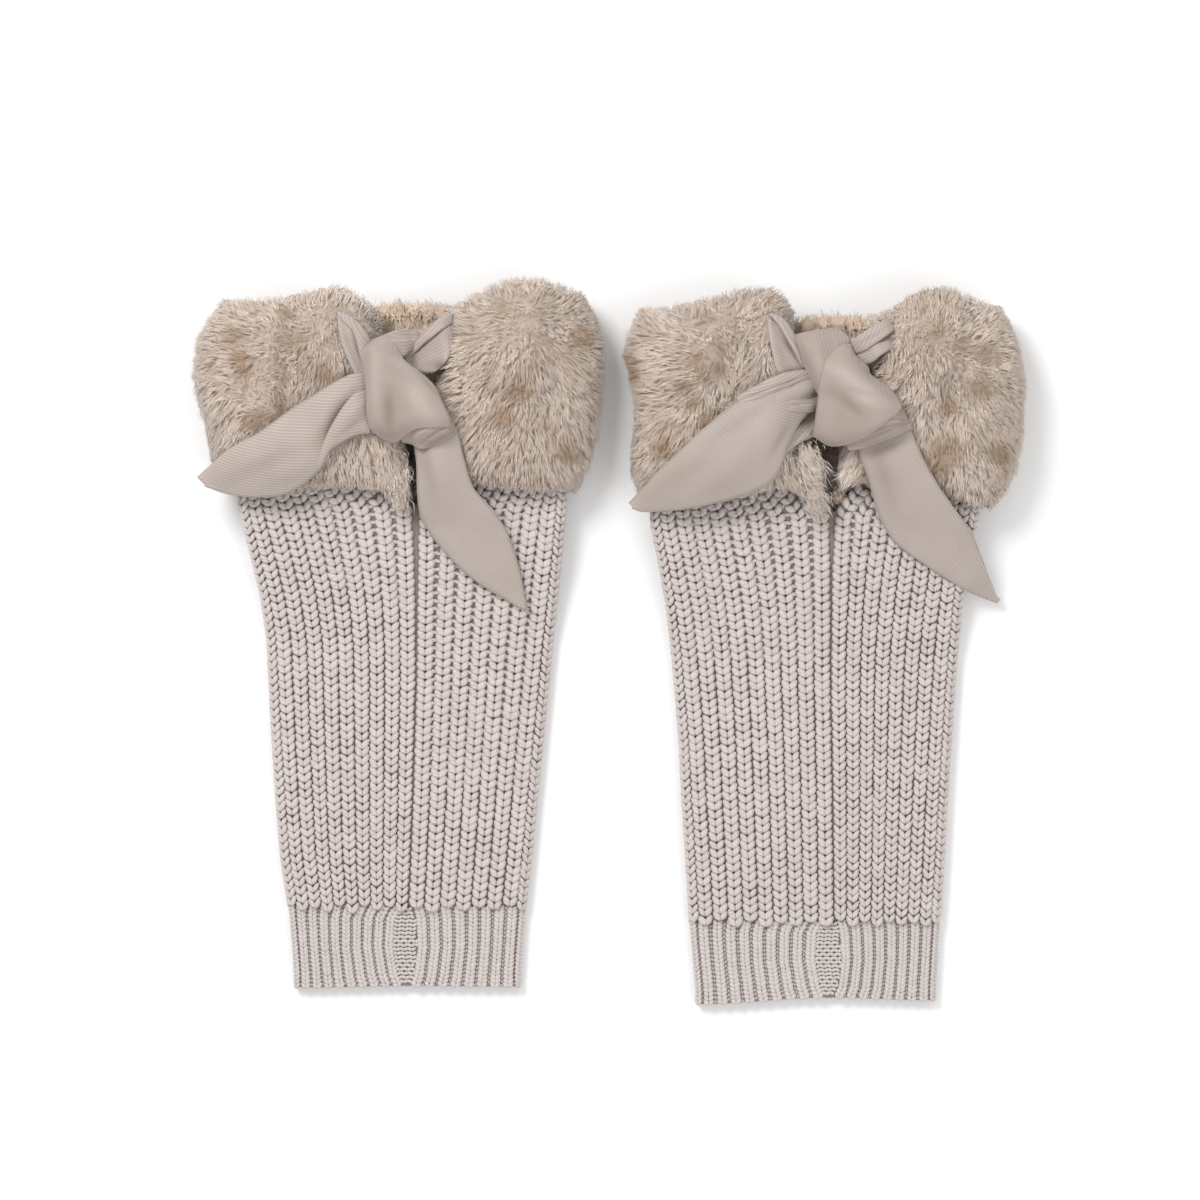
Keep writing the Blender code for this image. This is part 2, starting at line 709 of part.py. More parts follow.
def settle(obj, trees, points_below):
    """Lowers or raises a piece so that it clears what is below it by RIBBON_GAP at its closest place."""
    own = tree_of(obj)
    down, rise = Vector((0, 0, -1)), Vector((0, 0, 1))
    least = math.inf
    for point in sample_points(obj):
        for tree in trees:
            hit = tree.ray_cast(Vector((point.x, point.y, 500)), down)[0]
            if hit:
                least = min(least, point.z - hit.z)
    for point in points_below:
        hit = own.ray_cast(Vector((point.x, point.y, -50)), rise)[0]
        if hit:
            least = min(least, hit.z - point.z)
    for vertex in obj.data.vertices:
        vertex.co.z += (RIBBON_GAP - least) * MM


def make_ribbons(leg, below, collection):
    """The ribbon's bands, tails and knot, each laid over all the pieces that were made before it."""
    trees = [tree_of(obj) for obj in below]
    points = [point for obj in below for point in sample_points(obj)]
    plan = (
        ("band_left", 7, 4, False),
        ("band_right", 7, 5, False),
        ("tail_left", 15, 6, False),
        ("tail_right", 15, 6, False),
        ("knot", 12, 10, True),
    )
    for stretch, rows, columns, crowned in plan:
        strip = make_draped(leg.ribbons[stretch], rows, columns, crowned, trees)
        obj = new_object(f"{leg.name}_ribbon_{stretch}", strip, leg, "ribbon", collection)
        settle(obj, trees, points)
        trees.append(tree_of(obj))
        points += sample_points(obj)


def centre_on_origin(collection):
    """Moves the pair so that the middle of its base is at the origin."""
    bpy.context.view_layer.update()
    corners = [obj.matrix_world @ v.co for obj in collection.objects for v in obj.data.vertices]
    middle = [(min(c[i] for c in corners) + max(c[i] for c in corners)) / 2 for i in range(2)]
    lowest = min(c.z for c in corners)
    for obj in collection.objects:
        obj.location -= Vector((middle[0], middle[1], lowest))


def main():
    clear_scene()
    collection = bpy.data.collections.new("Leg warmers")
    bpy.context.scene.collection.children.link(collection)
    for leg in (LEFT, RIGHT):
        hem = make_hem(leg, collection)
        knit = make_knit(leg, collection)
        cuff = make_cuff(leg, collection)
        make_ribbons(leg, [hem, knit, cuff], collection)
    centre_on_origin(collection)
    for obj in collection.objects:
        print(obj.name, len(obj.data.polygons), "triangles")


main()
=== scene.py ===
# %% [markdown]
# # A pair of leg warmers with fur cuffs and ribbon bows
#
# The frame holds the plain solids of the pair. This script dresses them: knitted stitches on the body
# and the hem, thousands of small locks of fur on the cuffs, and creased twill ribbon. The frame is
# loaded first, because every piece is set on it. Two small helpers add an object to the scene and coat
# objects with a material.

import math
from collections import namedtuple

import bpy
import numpy as np
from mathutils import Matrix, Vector
from mathutils.bvhtree import BVHTree
from mathutils.kdtree import KDTree


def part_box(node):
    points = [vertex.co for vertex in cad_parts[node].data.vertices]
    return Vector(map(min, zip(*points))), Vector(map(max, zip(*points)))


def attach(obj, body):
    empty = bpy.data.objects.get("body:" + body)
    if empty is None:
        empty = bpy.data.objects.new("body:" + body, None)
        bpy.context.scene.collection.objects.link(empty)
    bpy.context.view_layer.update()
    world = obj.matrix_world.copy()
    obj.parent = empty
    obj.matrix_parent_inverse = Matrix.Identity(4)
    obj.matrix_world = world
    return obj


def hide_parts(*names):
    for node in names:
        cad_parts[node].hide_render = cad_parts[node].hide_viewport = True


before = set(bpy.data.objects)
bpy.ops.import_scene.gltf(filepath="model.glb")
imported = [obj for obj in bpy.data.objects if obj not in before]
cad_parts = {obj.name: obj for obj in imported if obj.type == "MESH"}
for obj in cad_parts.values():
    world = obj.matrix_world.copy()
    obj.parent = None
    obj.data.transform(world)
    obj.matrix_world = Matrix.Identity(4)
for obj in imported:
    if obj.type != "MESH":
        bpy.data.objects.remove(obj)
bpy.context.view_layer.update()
rng = np.random.default_rng(7)
MM = 0.001


def add_object(name, data):
    """A new object in the scene that shows the data."""
    obj = bpy.data.objects.new(name, data)
    bpy.context.scene.collection.objects.link(obj)
    return obj


def coat(objects, material):
    for obj in objects:
        obj.data.materials.append(material)


print("solids:", ", ".join(sorted(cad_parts)))

# %% [markdown]
# A product photo taken from straight above flattens the view, which a long lens does too. The camera
# hangs three metres up, and its focal length is worked out from the width of table that it has to show.

# %% Camera
VIEW_WIDTH = 0.576
VIEW_CENTRE = (-0.0048, 0.0202)
CAMERA_HEIGHT = 3.0
SUBJECT_HEIGHT = 0.02

camera_data = bpy.data.cameras.new("overhead camera")
camera = add_object("overhead camera", camera_data)
camera.location = (*VIEW_CENTRE, CAMERA_HEIGHT)
camera_data.sensor_width = 36
camera_data.lens = camera_data.sensor_width * (CAMERA_HEIGHT - SUBJECT_HEIGHT) / VIEW_WIDTH
bpy.context.scene.camera = camera
print("lens", round(camera_data.lens), "mm")

# %% [markdown]
# Soft studio light comes from large lamps. One wide lamp up and to the left models the fur and the
# stitches, a weaker one fills from the other side, and a pale world lifts what is left. The floor is a
# plain pale sheet.

# %% Light and floor
def lamp(name, place, size, power):
    data = bpy.data.lights.new(name, "AREA")
    data.shape, data.size, data.energy = "DISK", size, power
    obj = add_object(name, data)
    obj.location = place
    obj.rotation_euler = Vector(place).to_track_quat("Z", "Y").to_euler()


lamp("key lamp", (-0.9, 1.1, 1.6), size=0.9, power=26)
lamp("fill lamp", (1.2, -0.8, 1.5), size=1.4, power=9)
world = bpy.data.worlds.new("studio")
bpy.context.scene.world = world
world.use_nodes = True
world.node_tree.nodes["Background"].inputs["Color"].default_value = (1, 1, 1, 1)
world.node_tree.nodes["Background"].inputs["Strength"].default_value = 0.75
bpy.context.scene.view_settings.view_transform = "Standard"

bpy.ops.object.select_all(action="DESELECT")
bpy.ops.mesh.primitive_plane_add(size=6, location=(0, 0, -0.0005))
floor = bpy.context.object
floor.name = "floor"
paper = bpy.data.materials.new("floor paper")
paper.use_nodes = True
paper.node_tree.nodes["Principled BSDF"].inputs["Base Color"].default_value = (0.93, 0.93, 0.93, 1)
paper.node_tree.nodes["Principled BSDF"].inputs["Roughness"].default_value = 0.9
coat([floor], paper)

# %% [markdown]
# Materials are easier to read as formulas. This class wraps a socket, so that `mask * 0.5 + 0.2` adds
# the Math nodes that it says, and `node` adds any other kind with its settings first and its sockets
# after.

# %% Shader formulas
class Shade:
    """A socket that can be used in arithmetic."""

    def __init__(self, tree, socket):
        self.tree, self.socket = tree, socket

    def math(self, operation, *values):
        made = self.tree.nodes.new("ShaderNodeMath")
        made.operation = operation
        for slot, value in zip(made.inputs, values):
            plug(self.tree, slot, value)
        return Shade(self.tree, made.outputs[0])

    def __add__(self, other):
        return self.math("ADD", self, other)

    def __mul__(self, other):
        return self.math("MULTIPLY", self, other)

    __radd__ = __add__
    __rmul__ = __mul__

    def sin(self):
        return self.math("SINE", self)

    def between(self, low, high):
        """0 at low, 1 at high and smooth between them."""
        made = self.tree.nodes.new("ShaderNodeMapRange")
        made.interpolation_type = "SMOOTHSTEP"
        for slot, value in zip(made.inputs, (self, low, high, 0, 1)):
            plug(self.tree, slot, value)
        return Shade(self.tree, made.outputs[0])


def plug(tree, socket, value):
    if isinstance(value, Shade):
        tree.links.new(value.socket, socket)
    else:
        socket.default_value = value


class Finish:
    """A new material with a Principled shader, and the nodes that feed it."""

    def __init__(self, name, roughness, sheen=0.0, softness=0.0):
        self.material = bpy.data.materials.new(name)
        self.material.use_nodes = True
        self.tree = self.material.node_tree
        self.shader = self.tree.nodes["Principled BSDF"]
        self.shader.inputs["Roughness"].default_value = roughness
        self.shader.inputs["Sheen Weight"].default_value = sheen
        self.shader.inputs["Specular IOR Level"].default_value = 0.25
        self.shader.subsurface_method = "BURLEY"
        self.shader.inputs["Subsurface Weight"].default_value = softness
        self.shader.inputs["Subsurface Radius"].default_value = (1.0, 0.85, 0.7)
        self.shader.inputs["Subsurface Scale"].default_value = 0.003

    def node(self, kind, output=0, settings=(), **sockets):
        made = self.tree.nodes.new(kind)
        for key, value in dict(settings).items():
            setattr(made, key, value)
        for key, value in sockets.items():
            plug(self.tree, made.inputs[key.replace("_", " ")], value)
        return Shade(self.tree, made.outputs[output])

    def attribute(self, name):
        return self.node("ShaderNodeAttribute", "Fac", {"attribute_name": name})

    def noise(self, scale, detail=3.0):
        place = self.node("ShaderNodeTexCoord", "Object")
        return self.node("ShaderNodeTexNoise", 0, Vector=place, Scale=scale, Detail=detail)

    def blend(self, share, first, second):
        mix = self.tree.nodes.new("ShaderNodeMix")
        mix.data_type = "RGBA"
        plug(self.tree, mix.inputs[0], share)
        for socket, value in ((mix.inputs[6], first), (mix.inputs[7], second)):
            plug(self.tree, socket, value if isinstance(value, Shade) else (*value, 1))
        return Shade(self.tree, mix.outputs[2])

    def bump(self, height, distance, strength):
        bump = self.node("ShaderNodeBump", 0, Height=height, Distance=distance, Strength=strength)
        plug(self.tree, self.shader.inputs["Normal"], bump)

    def paint(self, colour):
        plug(self.tree, self.shader.inputs["Base Color"], colour)
        return self.material


# %% [markdown]
# Both leg warmers are knitted to one pattern, but they lie differently, so each has its own short
# tables. They are in millimetres in its own frame: "across" to the right of its middle and "up" from
# its hem. The seam is the line where the front closes, and the almond is the plain knitting between the
# hem's ribs. A comb stroke says which way the fur lies at a place. A thin spot is where its darker
# undercoat shows, a deep spot is where it sinks beside the bow and is painted nearly black as shade, a
# long spot is where it stands out furthest, and a warm spot is the inside of the cuff, painted a
# lighter caramel, partly its own colour and partly painted light against the shade that the flaps cast.
# A fill is more pile than the cloth of the cuff carries, as on the rim of the slit, with its height
# over the table.

# %% The shape of a table
Seam = namedtuple("Seam", "up across")
Almond = namedtuple("Almond", "up left right")
Comb = namedtuple("Comb", "across up right away")
Spot = namedtuple("Spot", "across up reach")
Fill = namedtuple("Fill", "across up reach height")
Leg = namedtuple("Leg", "name knit_ribs hem_ribs notch_foot place seam almond "
                        "comb thin deep long warm fills")


def table(kind, *rows):
    """A table whose rows are all of one kind."""
    return [kind(*row) for row in rows]


def place_of(name, hem_middle, hem_corner):
    """A leg warmer's origin, in millimetres, from the box of its hem."""
    low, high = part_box(f"{name}_hem_rib")
    return ((low.x + high.x) / 2 / MM - hem_middle, low.y / MM - hem_corner)


# %% The left leg warmer
LEFT = Leg(
    name="left",
    knit_ribs=(9, 7),
    hem_ribs=(9, 8),
    notch_foot=231.0,
    place=place_of("left", -0.2, 0.0),
    seam=table(Seam, (0, -0.5), (41, 0.5), (91, 2.5), (149, 4), (206, 4.2), (262, 3.5)),
    almond=table(
        Almond,
        (0, -1.5, 0.5), (6, -4.2, 2.6), (20, -6.6, 4.4), (34, -5.4, 3.6), (41, -1, 1.6),
    ),
    comb=table(
        Comb,
        (-99, 328, -0.8, 0.5), (-82, 334, -0.2, 1), (-65, 334, 0.1, 1), (-46, 336, 0.1, 1),
        (-32, 330, 0.4, 0.9), (-101, 308, -1, -0.1), (-101, 283, -0.9, -0.5), (-97, 258, -0.6, -0.9),
        (-84, 248, -0.3, -1), (-92, 300, -0.9, -0.3), (-90, 285, -0.7, -0.7), (-84, 270, -0.3, -1),
        (-86, 318, -0.8, 0.3), (-74, 315, -1, 0), (-64, 311, -1, 0.1), (-60, 319, -0.8, 0.4),
        (-80, 304, -0.9, -0.3), (-66, 303, -0.9, -0.2), (-68, 295, 0.9, 0.3), (-59, 287, 0.1, -1),
        (-68, 278, -1, 0.1), (-76, 287, -0.2, 1), (-82, 280, -0.5, -0.9), (-68, 266, -0.3, -1),
        (-46, 306, 0, -1), (-48, 290, -0.1, -1), (-38, 300, 0.1, -1), (-31, 311, 0.3, -1),
        (-41, 321, 0.1, -0.3), (-38, 283, -0.1, -1), (-16, 255, 0.2, -1), (-7, 248, 0.4, -1),
        (-40, 245, 0, -1), (-8, 330, -0.1, 0.9), (8, 330, 0.1, 0.9), (30, 334, -0.5, 0.9),
        (54, 341, 0, 1), (78, 335, 0.5, 0.8), (93, 312, 1, 0.1), (95, 284, 1, -0.4),
        (88, 258, 0.8, -0.8), (74, 244, 0.3, -1), (45, 243, -0.1, -1), (26, 319, -1, 0.1),
        (44, 318, -0.7, -0.4), (60, 316, -0.1, -0.7), (76, 314, 0.5, -0.5), (20, 300, -1, -0.2),
        (35, 301, -0.6, -0.7), (51, 299, -0.2, -1), (66, 298, 0.1, -1), (80, 296, 0.6, -0.8),
        (22, 284, -0.9, -0.5), (40, 281, -0.6, -0.8), (56, 281, -0.2, -1), (72, 279, 0.3, -1),
        (30, 267, -0.6, -0.8), (46, 263, -0.4, -0.9), (62, 262, 0.1, -1), (79, 262, 0.4, -0.9),
    ),
    thin=table(
        Spot,
        (-82, 313, 4), (-79, 302, 4), (-77, 296, 3), (-56, 312, 4), (-57, 324, 3), (-66, 273, 5),
        (-61, 280, 3), (-73, 272, 4), (-39, 295, 4), (54, 286, 5), (47, 275, 4), (84, 312, 4),
        (77, 257, 4), (45, 328, 2.5),
    ),
    deep=table(Spot, (-27, 297, 3.5), (1, 259, 4.5), (3, 250, 4), (4, 240, 3), (19, 299, 4)),
    long=table(Spot, (-103, 314, 12), (-98, 290, 10)),
    warm=table(Spot, (-6, 319, 9), (6, 318, 9)),
    fills=table(
        Fill,
        (-6, 258, 3.5, 29), (-5, 250, 4, 29), (-4, 243, 4, 27), (-4, 238, 3.5, 25), (-11, 325, 3, 10),
        (-4, 326, 3, 10), (3, 326, 3, 10), (10, 326, 3, 10), (17, 325, 3, 10),
    ),
)

# %% The right leg warmer
RIGHT = Leg(
    name="right",
    knit_ribs=(9, 8),
    hem_ribs=(9, 8),
    notch_foot=235.0,
    place=place_of("right", -0.7, -0.9),
    seam=table(Seam, (0, 7), (41, 8.5), (97, 8), (155, 7), (213, 7.2), (262, 7.6)),
    almond=table(Almond, (0, 5, 7.5), (6, 2.6, 10.2), (20, 0.2, 11.8), (34, 1, 10.9), (41, 5, 9.2)),
    comb=table(
        Comb,
        (-85, 332, -0.7, 0.7), (-61, 340, -0.1, 1), (-37, 343, 0.1, 1), (-22, 338, 0.7, 0.6),
        (-91, 309, -1, 0), (-88, 288, -1, -0.1), (-89, 268, -0.8, -0.6), (-85, 252, -0.6, -0.9),
        (-70, 320, -0.9, 0.3), (-76, 310, -1, 0), (-58, 313, -0.9, 0.2), (-62, 301, -0.9, -0.3),
        (-74, 298, -1, 0), (-72, 287, -1, -0.1), (-60, 288, -0.3, -0.9), (-74, 272, -0.2, -1),
        (-64, 276, 0, -1), (-42, 316, 0.1, -1), (-36, 302, -0.1, -1), (-43, 302, 0, -1),
        (-25, 314, 0.2, -1), (-40, 290, -0.1, -1), (-50, 250, -0.1, -1), (-34, 328, 0.2, 0.2),
        (-5, 262, 0.7, -1), (-3, 250, 0.8, -1), (-24, 252, 0.1, -1), (2, 336, -0.1, 0.9),
        (20, 336, 0.1, 0.9), (31, 330, -0.5, 0.7), (42, 340, -0.1, 1), (64, 342, 0.1, 1),
        (88, 334, 0.7, 0.7), (100, 310, 1, 0), (101, 276, 1, -0.3), (96, 252, 0.7, -0.8),
        (68, 246, 0, -1), (42, 319, 0, -1), (38, 308, -0.3, -1), (32, 301, -0.9, -0.5),
        (44, 300, -0.3, -1), (40, 290, -0.7, -0.7), (55, 312, 0.1, -0.8), (58, 298, -0.2, -1),
        (56, 282, 0, -1), (66, 272, 0.1, -1), (72, 300, 0.6, -0.7), (74, 286, 0.4, -0.9),
        (84, 304, 0.8, -0.4), (86, 288, 0.7, -0.7), (80, 268, 0.4, -0.9), (58, 327, 0, 0.8),
        (78, 322, 0.7, 0.5), (20, 255, -0.8, -1),
    ),
    thin=table(
        Spot,
        (-91, 309, 4), (-89, 303, 3), (-48, 314, 3), (-48, 305, 3), (-58, 308, 4), (-55, 301, 3),
        (-64, 296, 3), (-60, 288, 3), (-53, 280, 3), (-74, 267, 4), (-54, 328, 3), (61, 265, 6),
        (58, 259, 5), (80, 312, 4), (77, 295, 4), (63, 286, 3), (57, 322, 3), (87, 264, 4),
        (69, 317, 3),
    ),
    deep=table(Spot, (8, 266, 4.5), (9, 257, 5), (11, 247, 4), (27, 304, 4.5), (-6, 271, 3)),
    long=table(Spot, (-93, 314, 9)),
    warm=table(Spot, (6, 322, 10), (20, 322, 9)),
    fills=table(
        Fill,
        (-7, 266, 4.5, 30), (-5, 260, 5, 30), (-4, 253, 5, 29), (-3, 246, 4.5, 28), (-1, 241, 4, 25),
        (11, 246, 3, 14), (16, 256, 3, 27), (-5, 326, 3, 10), (3, 327, 3, 10), (11, 327, 3, 10),
        (19, 327, 3, 10), (27, 326, 3, 10),
    ),
)
LEGS = (LEFT, RIGHT)
for leg in LEGS:
    print(leg.name, "leg warmer's hem is at", [round(value, 1) for value in leg.place])

# %% [markdown]
# The solids say how wide each tube is and how high it lies at each step up the leg. Rays cast at the
# solid from the left, the right and below read those three off, so the stitches stay on it if its sizes
# change. The lower edge of a hem isn't quite straight, so more rays read that, and the widths are read
# clear of it.

# %% Read the tubes from the solids
TUBE = {"hem": 6.6, "knit": 8.6}
HEM_TOP = 40.5
ROWS_UP = np.arange(1.0, 262.0, 3.0)
CLEAR_OF_FOOT = 8.0
ACROSS = np.arange(-52.0, 53.0, 4.0)
FAR = 1000.0
UNDER_ACROSS = -20.0
FOOT_LEVEL = 0.75


def tree_of(node):
    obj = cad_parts[node]
    points = [vertex.co / MM for vertex in obj.data.vertices]
    return BVHTree.FromPolygons(points, [tuple(face.vertices) for face in obj.data.polygons])


trees = {name: tree_of(name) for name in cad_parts}


def read_tube(leg):
    """The left edge, the right edge and the height of the underside at each of ROWS_UP."""
    found = []
    x0, y0 = leg.place
    for up in ROWS_UP:
        part = "hem" if up < HEM_TOP else "knit"
        tree = trees[f"{leg.name}_hem_rib" if part == "hem" else f"{leg.name}_knit_body"]
        y = y0 + max(up, CLEAR_OF_FOOT)
        under = tree.ray_cast(Vector((x0 + UNDER_ACROSS, y, -FAR)), Vector((0, 0, 1)))[0].z
        middle = under + TUBE[part] / 2
        left = tree.ray_cast(Vector((x0 - FAR, y, middle)), Vector((1, 0, 0)))[0].x - x0
        right = tree.ray_cast(Vector((x0 + FAR, y, middle)), Vector((-1, 0, 0)))[0].x - x0
        found.append((left, right, under))
    return np.array(found).T


def read_foot(leg):
    """Places across the hem, and how high its lower edge is at each."""
    x0, y0 = leg.place
    z = tubes[leg.name][2][0] + TUBE["hem"] * FOOT_LEVEL
    tree = trees[f"{leg.name}_hem_rib"]
    ahead = Vector((0, 1, 0))
    hits = [tree.ray_cast(Vector((x0 + across, y0 - FAR, z)), ahead)[0] for across in ACROSS]
    return np.array([(across, hit.y - y0) for across, hit in zip(ACROSS, hits) if hit]).T


def height_up(leg, across, up):
    """The height up the leg with the hem's rows drawn up or down to meet its lower edge."""
    return up + np.interp(across, *feet[leg.name]) * np.clip(1 - up / HEM_TOP, 0, 1)


tubes = {leg.name: read_tube(leg) for leg in LEGS}
feet = {leg.name: read_foot(leg) for leg in LEGS}
print("heights of the right hem's lower edge:", feet["right"][1].round(1))
for leg in LEGS:
    left, right, under = tubes[leg.name]
    print(leg.name, "tube:", round(right[0] - left[0]), "to", round(right[-1] - left[-1]), "mm wide")

# %% [markdown]
# A place on a tube is given by a rib number and a height up the leg. Rib 0 is the front seam, minus
# numbers run to the left and plus numbers to the right, and past the last rib they go round the side
# onto the back. Towards the slit the ribs fan outwards, because the cuff pulls the knitting open. One
# function turns that into a point and the direction that faces outwards there.

# %% Places on a tube
SIDE_RIBS = 2
NOTCH_WIDTH, NOTCH_HEIGHT, NOTCH_LIMIT, NOTCH_CURVE = 11.0, 15.0, 1.6, 1.2
SEAM_VALLEY = 0.2
FAN, FAN_HEIGHT, FAN_LIMIT = 4.0, 75.0, 1.2


def column(rows, name, up):
    return np.interp(up, [row.up for row in rows], [getattr(row, name) for row in rows])


def in_frame(leg, across, up, height):
    """Points of a leg warmer in the frame's own directions, in millimetres."""
    return np.stack([across + leg.place[0], up + leg.place[1], height], -1)


def underside(leg, up):
    return np.interp(up, ROWS_UP, tubes[leg.name][2])


def on_tube(leg, part, rib, up, depth=0.0):
    """Points depth mm under a tube's outside, and the ways outwards, at rib numbers and heights."""
    rib, up = np.broadcast_arrays(np.asarray(rib, float), np.asarray(up, float))
    left_ribs, right_ribs = leg.hem_ribs if part == "hem" else leg.knit_ribs
    left, right, under = (np.interp(up, ROWS_UP, values) for values in tubes[leg.name])
    radius = TUBE[part] / 2
    seam = column(leg.seam, "across", up)
    above_foot = up - leg.notch_foot
    open_by = NOTCH_WIDTH * np.clip(above_foot / NOTCH_HEIGHT, 0, NOTCH_LIMIT) ** NOTCH_CURVE
    close_left, close_right = seam - open_by - SEAM_VALLEY, seam + open_by + SEAM_VALLEY
    if part == "hem":
        close_left, close_right = column(leg.almond, "left", up), column(leg.almond, "right", up)
    front_left = close_left + (left + radius - close_left) * (-rib / left_ribs)
    front_right = close_right + (right - radius - close_right) * (rib / right_ribs)
    side = np.where(rib < 0, -1.0, 1.0)
    count = np.where(rib < 0, left_ribs, right_ribs)
    past = np.clip((np.abs(rib) - count) / SIDE_RIBS, 0, 1)
    edge = np.where(rib < 0, left + radius, right - radius)
    back_share = np.clip((np.abs(rib) - count - SIDE_RIBS) / (left_ribs + right_ribs), 0, 1)
    back = edge - side * back_share * (right - left - 2 * radius)
    share = np.clip(np.abs(rib) / count, 0, 1)
    fan = FAN * np.clip(above_foot / FAN_HEIGHT + 1, 0, FAN_LIMIT) ** 2
    lean = fan * 4 * share * (1 - share)
    front = np.where(rib < 0, front_left, front_right) + side * lean
    x = np.where(past <= 0, front, np.where(past < 1, edge, back))
    turn = past * math.pi
    reach = radius - depth
    out = np.stack([side * np.sin(turn), np.zeros_like(x), np.cos(turn)], -1)
    return in_frame(leg, x, height_up(leg, x, up), under + radius) + out * reach, out


across_left, _ = on_tube(LEFT, "knit", [-9.0, 0.1, 7.0, 8.0], 100.0)
print("across the left tube at 100 mm up:", across_left[:, 0].round(1))

# %% [markdown]
# Under the stitches lies the ground of the knitting. Its yarn is painted dark brown, as the shade that
# shows between the stitches. It starts as a flat grid whose two directions become the way round the
# tube and the way up. The long edges meet at the back, where they are merged. Above the foot of the
# slit, the faces that would bridge it are deleted, so that it opens, and a Solidify modifier gives the
# cloth its thickness.

# %% Helpers for sheets
SAME_PLACE = 0.00002


def new_grid(name, across, along):
    """A flat grid in Blender's own units, and its points' shares across and along as arrays."""
    bpy.ops.object.select_all(action="DESELECT")
    bpy.ops.mesh.primitive_grid_add(x_subdivisions=across, y_subdivisions=along, size=1)
    grid = bpy.context.object
    grid.name = name
    place = np.empty(len(grid.data.vertices) * 3)
    grid.data.vertices.foreach_get("co", place)
    place = place.reshape(-1, 3)
    return grid, place[:, 0] + 0.5, place[:, 1] + 0.5


def set_points(obj, points):
    """Moves an object's vertices to points in millimetres."""
    obj.data.vertices.foreach_set("co", np.ascontiguousarray(points * MM).ravel())
    obj.data.update()


def thicken(obj, wall):
    """Gives an open sheet a wall below it with a Solidify modifier, and applies it."""
    bpy.context.view_layer.objects.active = obj
    solid = obj.modifiers.new("wall", "SOLIDIFY")
    solid.thickness, solid.offset = wall * MM, -1.0
    bpy.ops.object.modifier_apply(modifier=solid.name)


def in_edit_mode(obj, work):
    """Selects all of an object in edit mode, does the work there, and leaves edit mode."""
    bpy.ops.object.select_all(action="DESELECT")
    obj.select_set(True)
    bpy.context.view_layer.objects.active = obj
    bpy.ops.object.mode_set(mode="EDIT")
    bpy.ops.mesh.select_all(action="SELECT")
    work()
    bpy.ops.object.mode_set(mode="OBJECT")


def delete_faces(obj, chosen):
    """Deletes the faces that are marked in an array, one mark per face."""
    bpy.context.tool_settings.mesh_select_mode = (False, False, True)
    for items in (obj.data.vertices, obj.data.edges):
        items.foreach_set("select", np.zeros(len(items), bool))
    obj.data.polygons.foreach_set("select", chosen)
    bpy.ops.object.mode_set(mode="EDIT")
    bpy.ops.mesh.delete(type="FACE")
    bpy.ops.object.mode_set(mode="OBJECT")
    bpy.context.tool_settings.mesh_select_mode = (True, False, False)


def merge_and_face_out():
    bpy.ops.mesh.remove_doubles(threshold=SAME_PLACE)
    bpy.ops.mesh.normals_make_consistent(inside=False)


print("helpers ready")

# %% Ground cloth of the tubes
GROUND_DEPTH = {"hem": 1.5, "knit": 2.4}
GROUND_WALL = 0.9
GROUND_FOOT = 0.6
GROUND_COLUMNS, GROUND_ROWS = 61, 60
BESIDE_SEAM, NEAR_SEAM = 0.001, 0.01
KNIT_ABOVE_SLIT = 24.0


def round_tube(ribs):
    """The rib numbers of the middle of the back, as it is reached from each side."""
    left_ribs, right_ribs = ribs
    half_back = (left_ribs + right_ribs) / 2
    return -(left_ribs + SIDE_RIBS + half_back), right_ribs + SIDE_RIBS + half_back


def ground(leg, part, low, high):
    grid, around, upward = new_grid(f"{leg.name}_{part}_ground", 2 * GROUND_COLUMNS - 1, GROUND_ROWS)
    start, end = round_tube(leg.hem_ribs if part == "hem" else leg.knit_ribs)
    steps = np.concatenate([np.linspace(start, -BESIDE_SEAM, GROUND_COLUMNS),
                            np.linspace(BESIDE_SEAM, end, GROUND_COLUMNS)])
    rib = np.interp(around, np.linspace(0, 1, len(steps)), steps)
    up = low + upward * (high - low)
    point, _ = on_tube(leg, part, rib, up, GROUND_DEPTH[part])
    set_points(grid, point)
    corners = np.array([face.vertices[:] for face in grid.data.polygons])
    bridges = (np.abs(rib[corners]).max(1) < NEAR_SEAM) & (up[corners].min(1) > leg.notch_foot)
    delete_faces(grid, bridges)
    in_edit_mode(grid, merge_and_face_out)
    thicken(grid, GROUND_WALL)
    grid.data.shade_smooth()
    return grid


grounds = {}
for leg in LEGS:
    grounds[leg.name, "hem"] = ground(leg, "hem", GROUND_FOOT, HEM_TOP)
    grounds[leg.name, "knit"] = ground(leg, "knit", HEM_TOP, leg.notch_foot + KNIT_ABOVE_SLIT)
print("ground cloths:", len(grounds))

# %% [markdown]
# Each stitch of the knit body shows two plump legs of yarn that lean together into a V. One leg is
# modelled from a sphere: stretched, tapered to both ends and flattened below. It keeps the sphere's UV
# map, which runs round and along it, so the yarn's twist can follow. Small purl loops fill the valleys
# between the ribs.

# %% One stitch leg
Shape = namedtuple("Shape", "points loops starts uvs crown")
FLAT_BELOW = 0.8


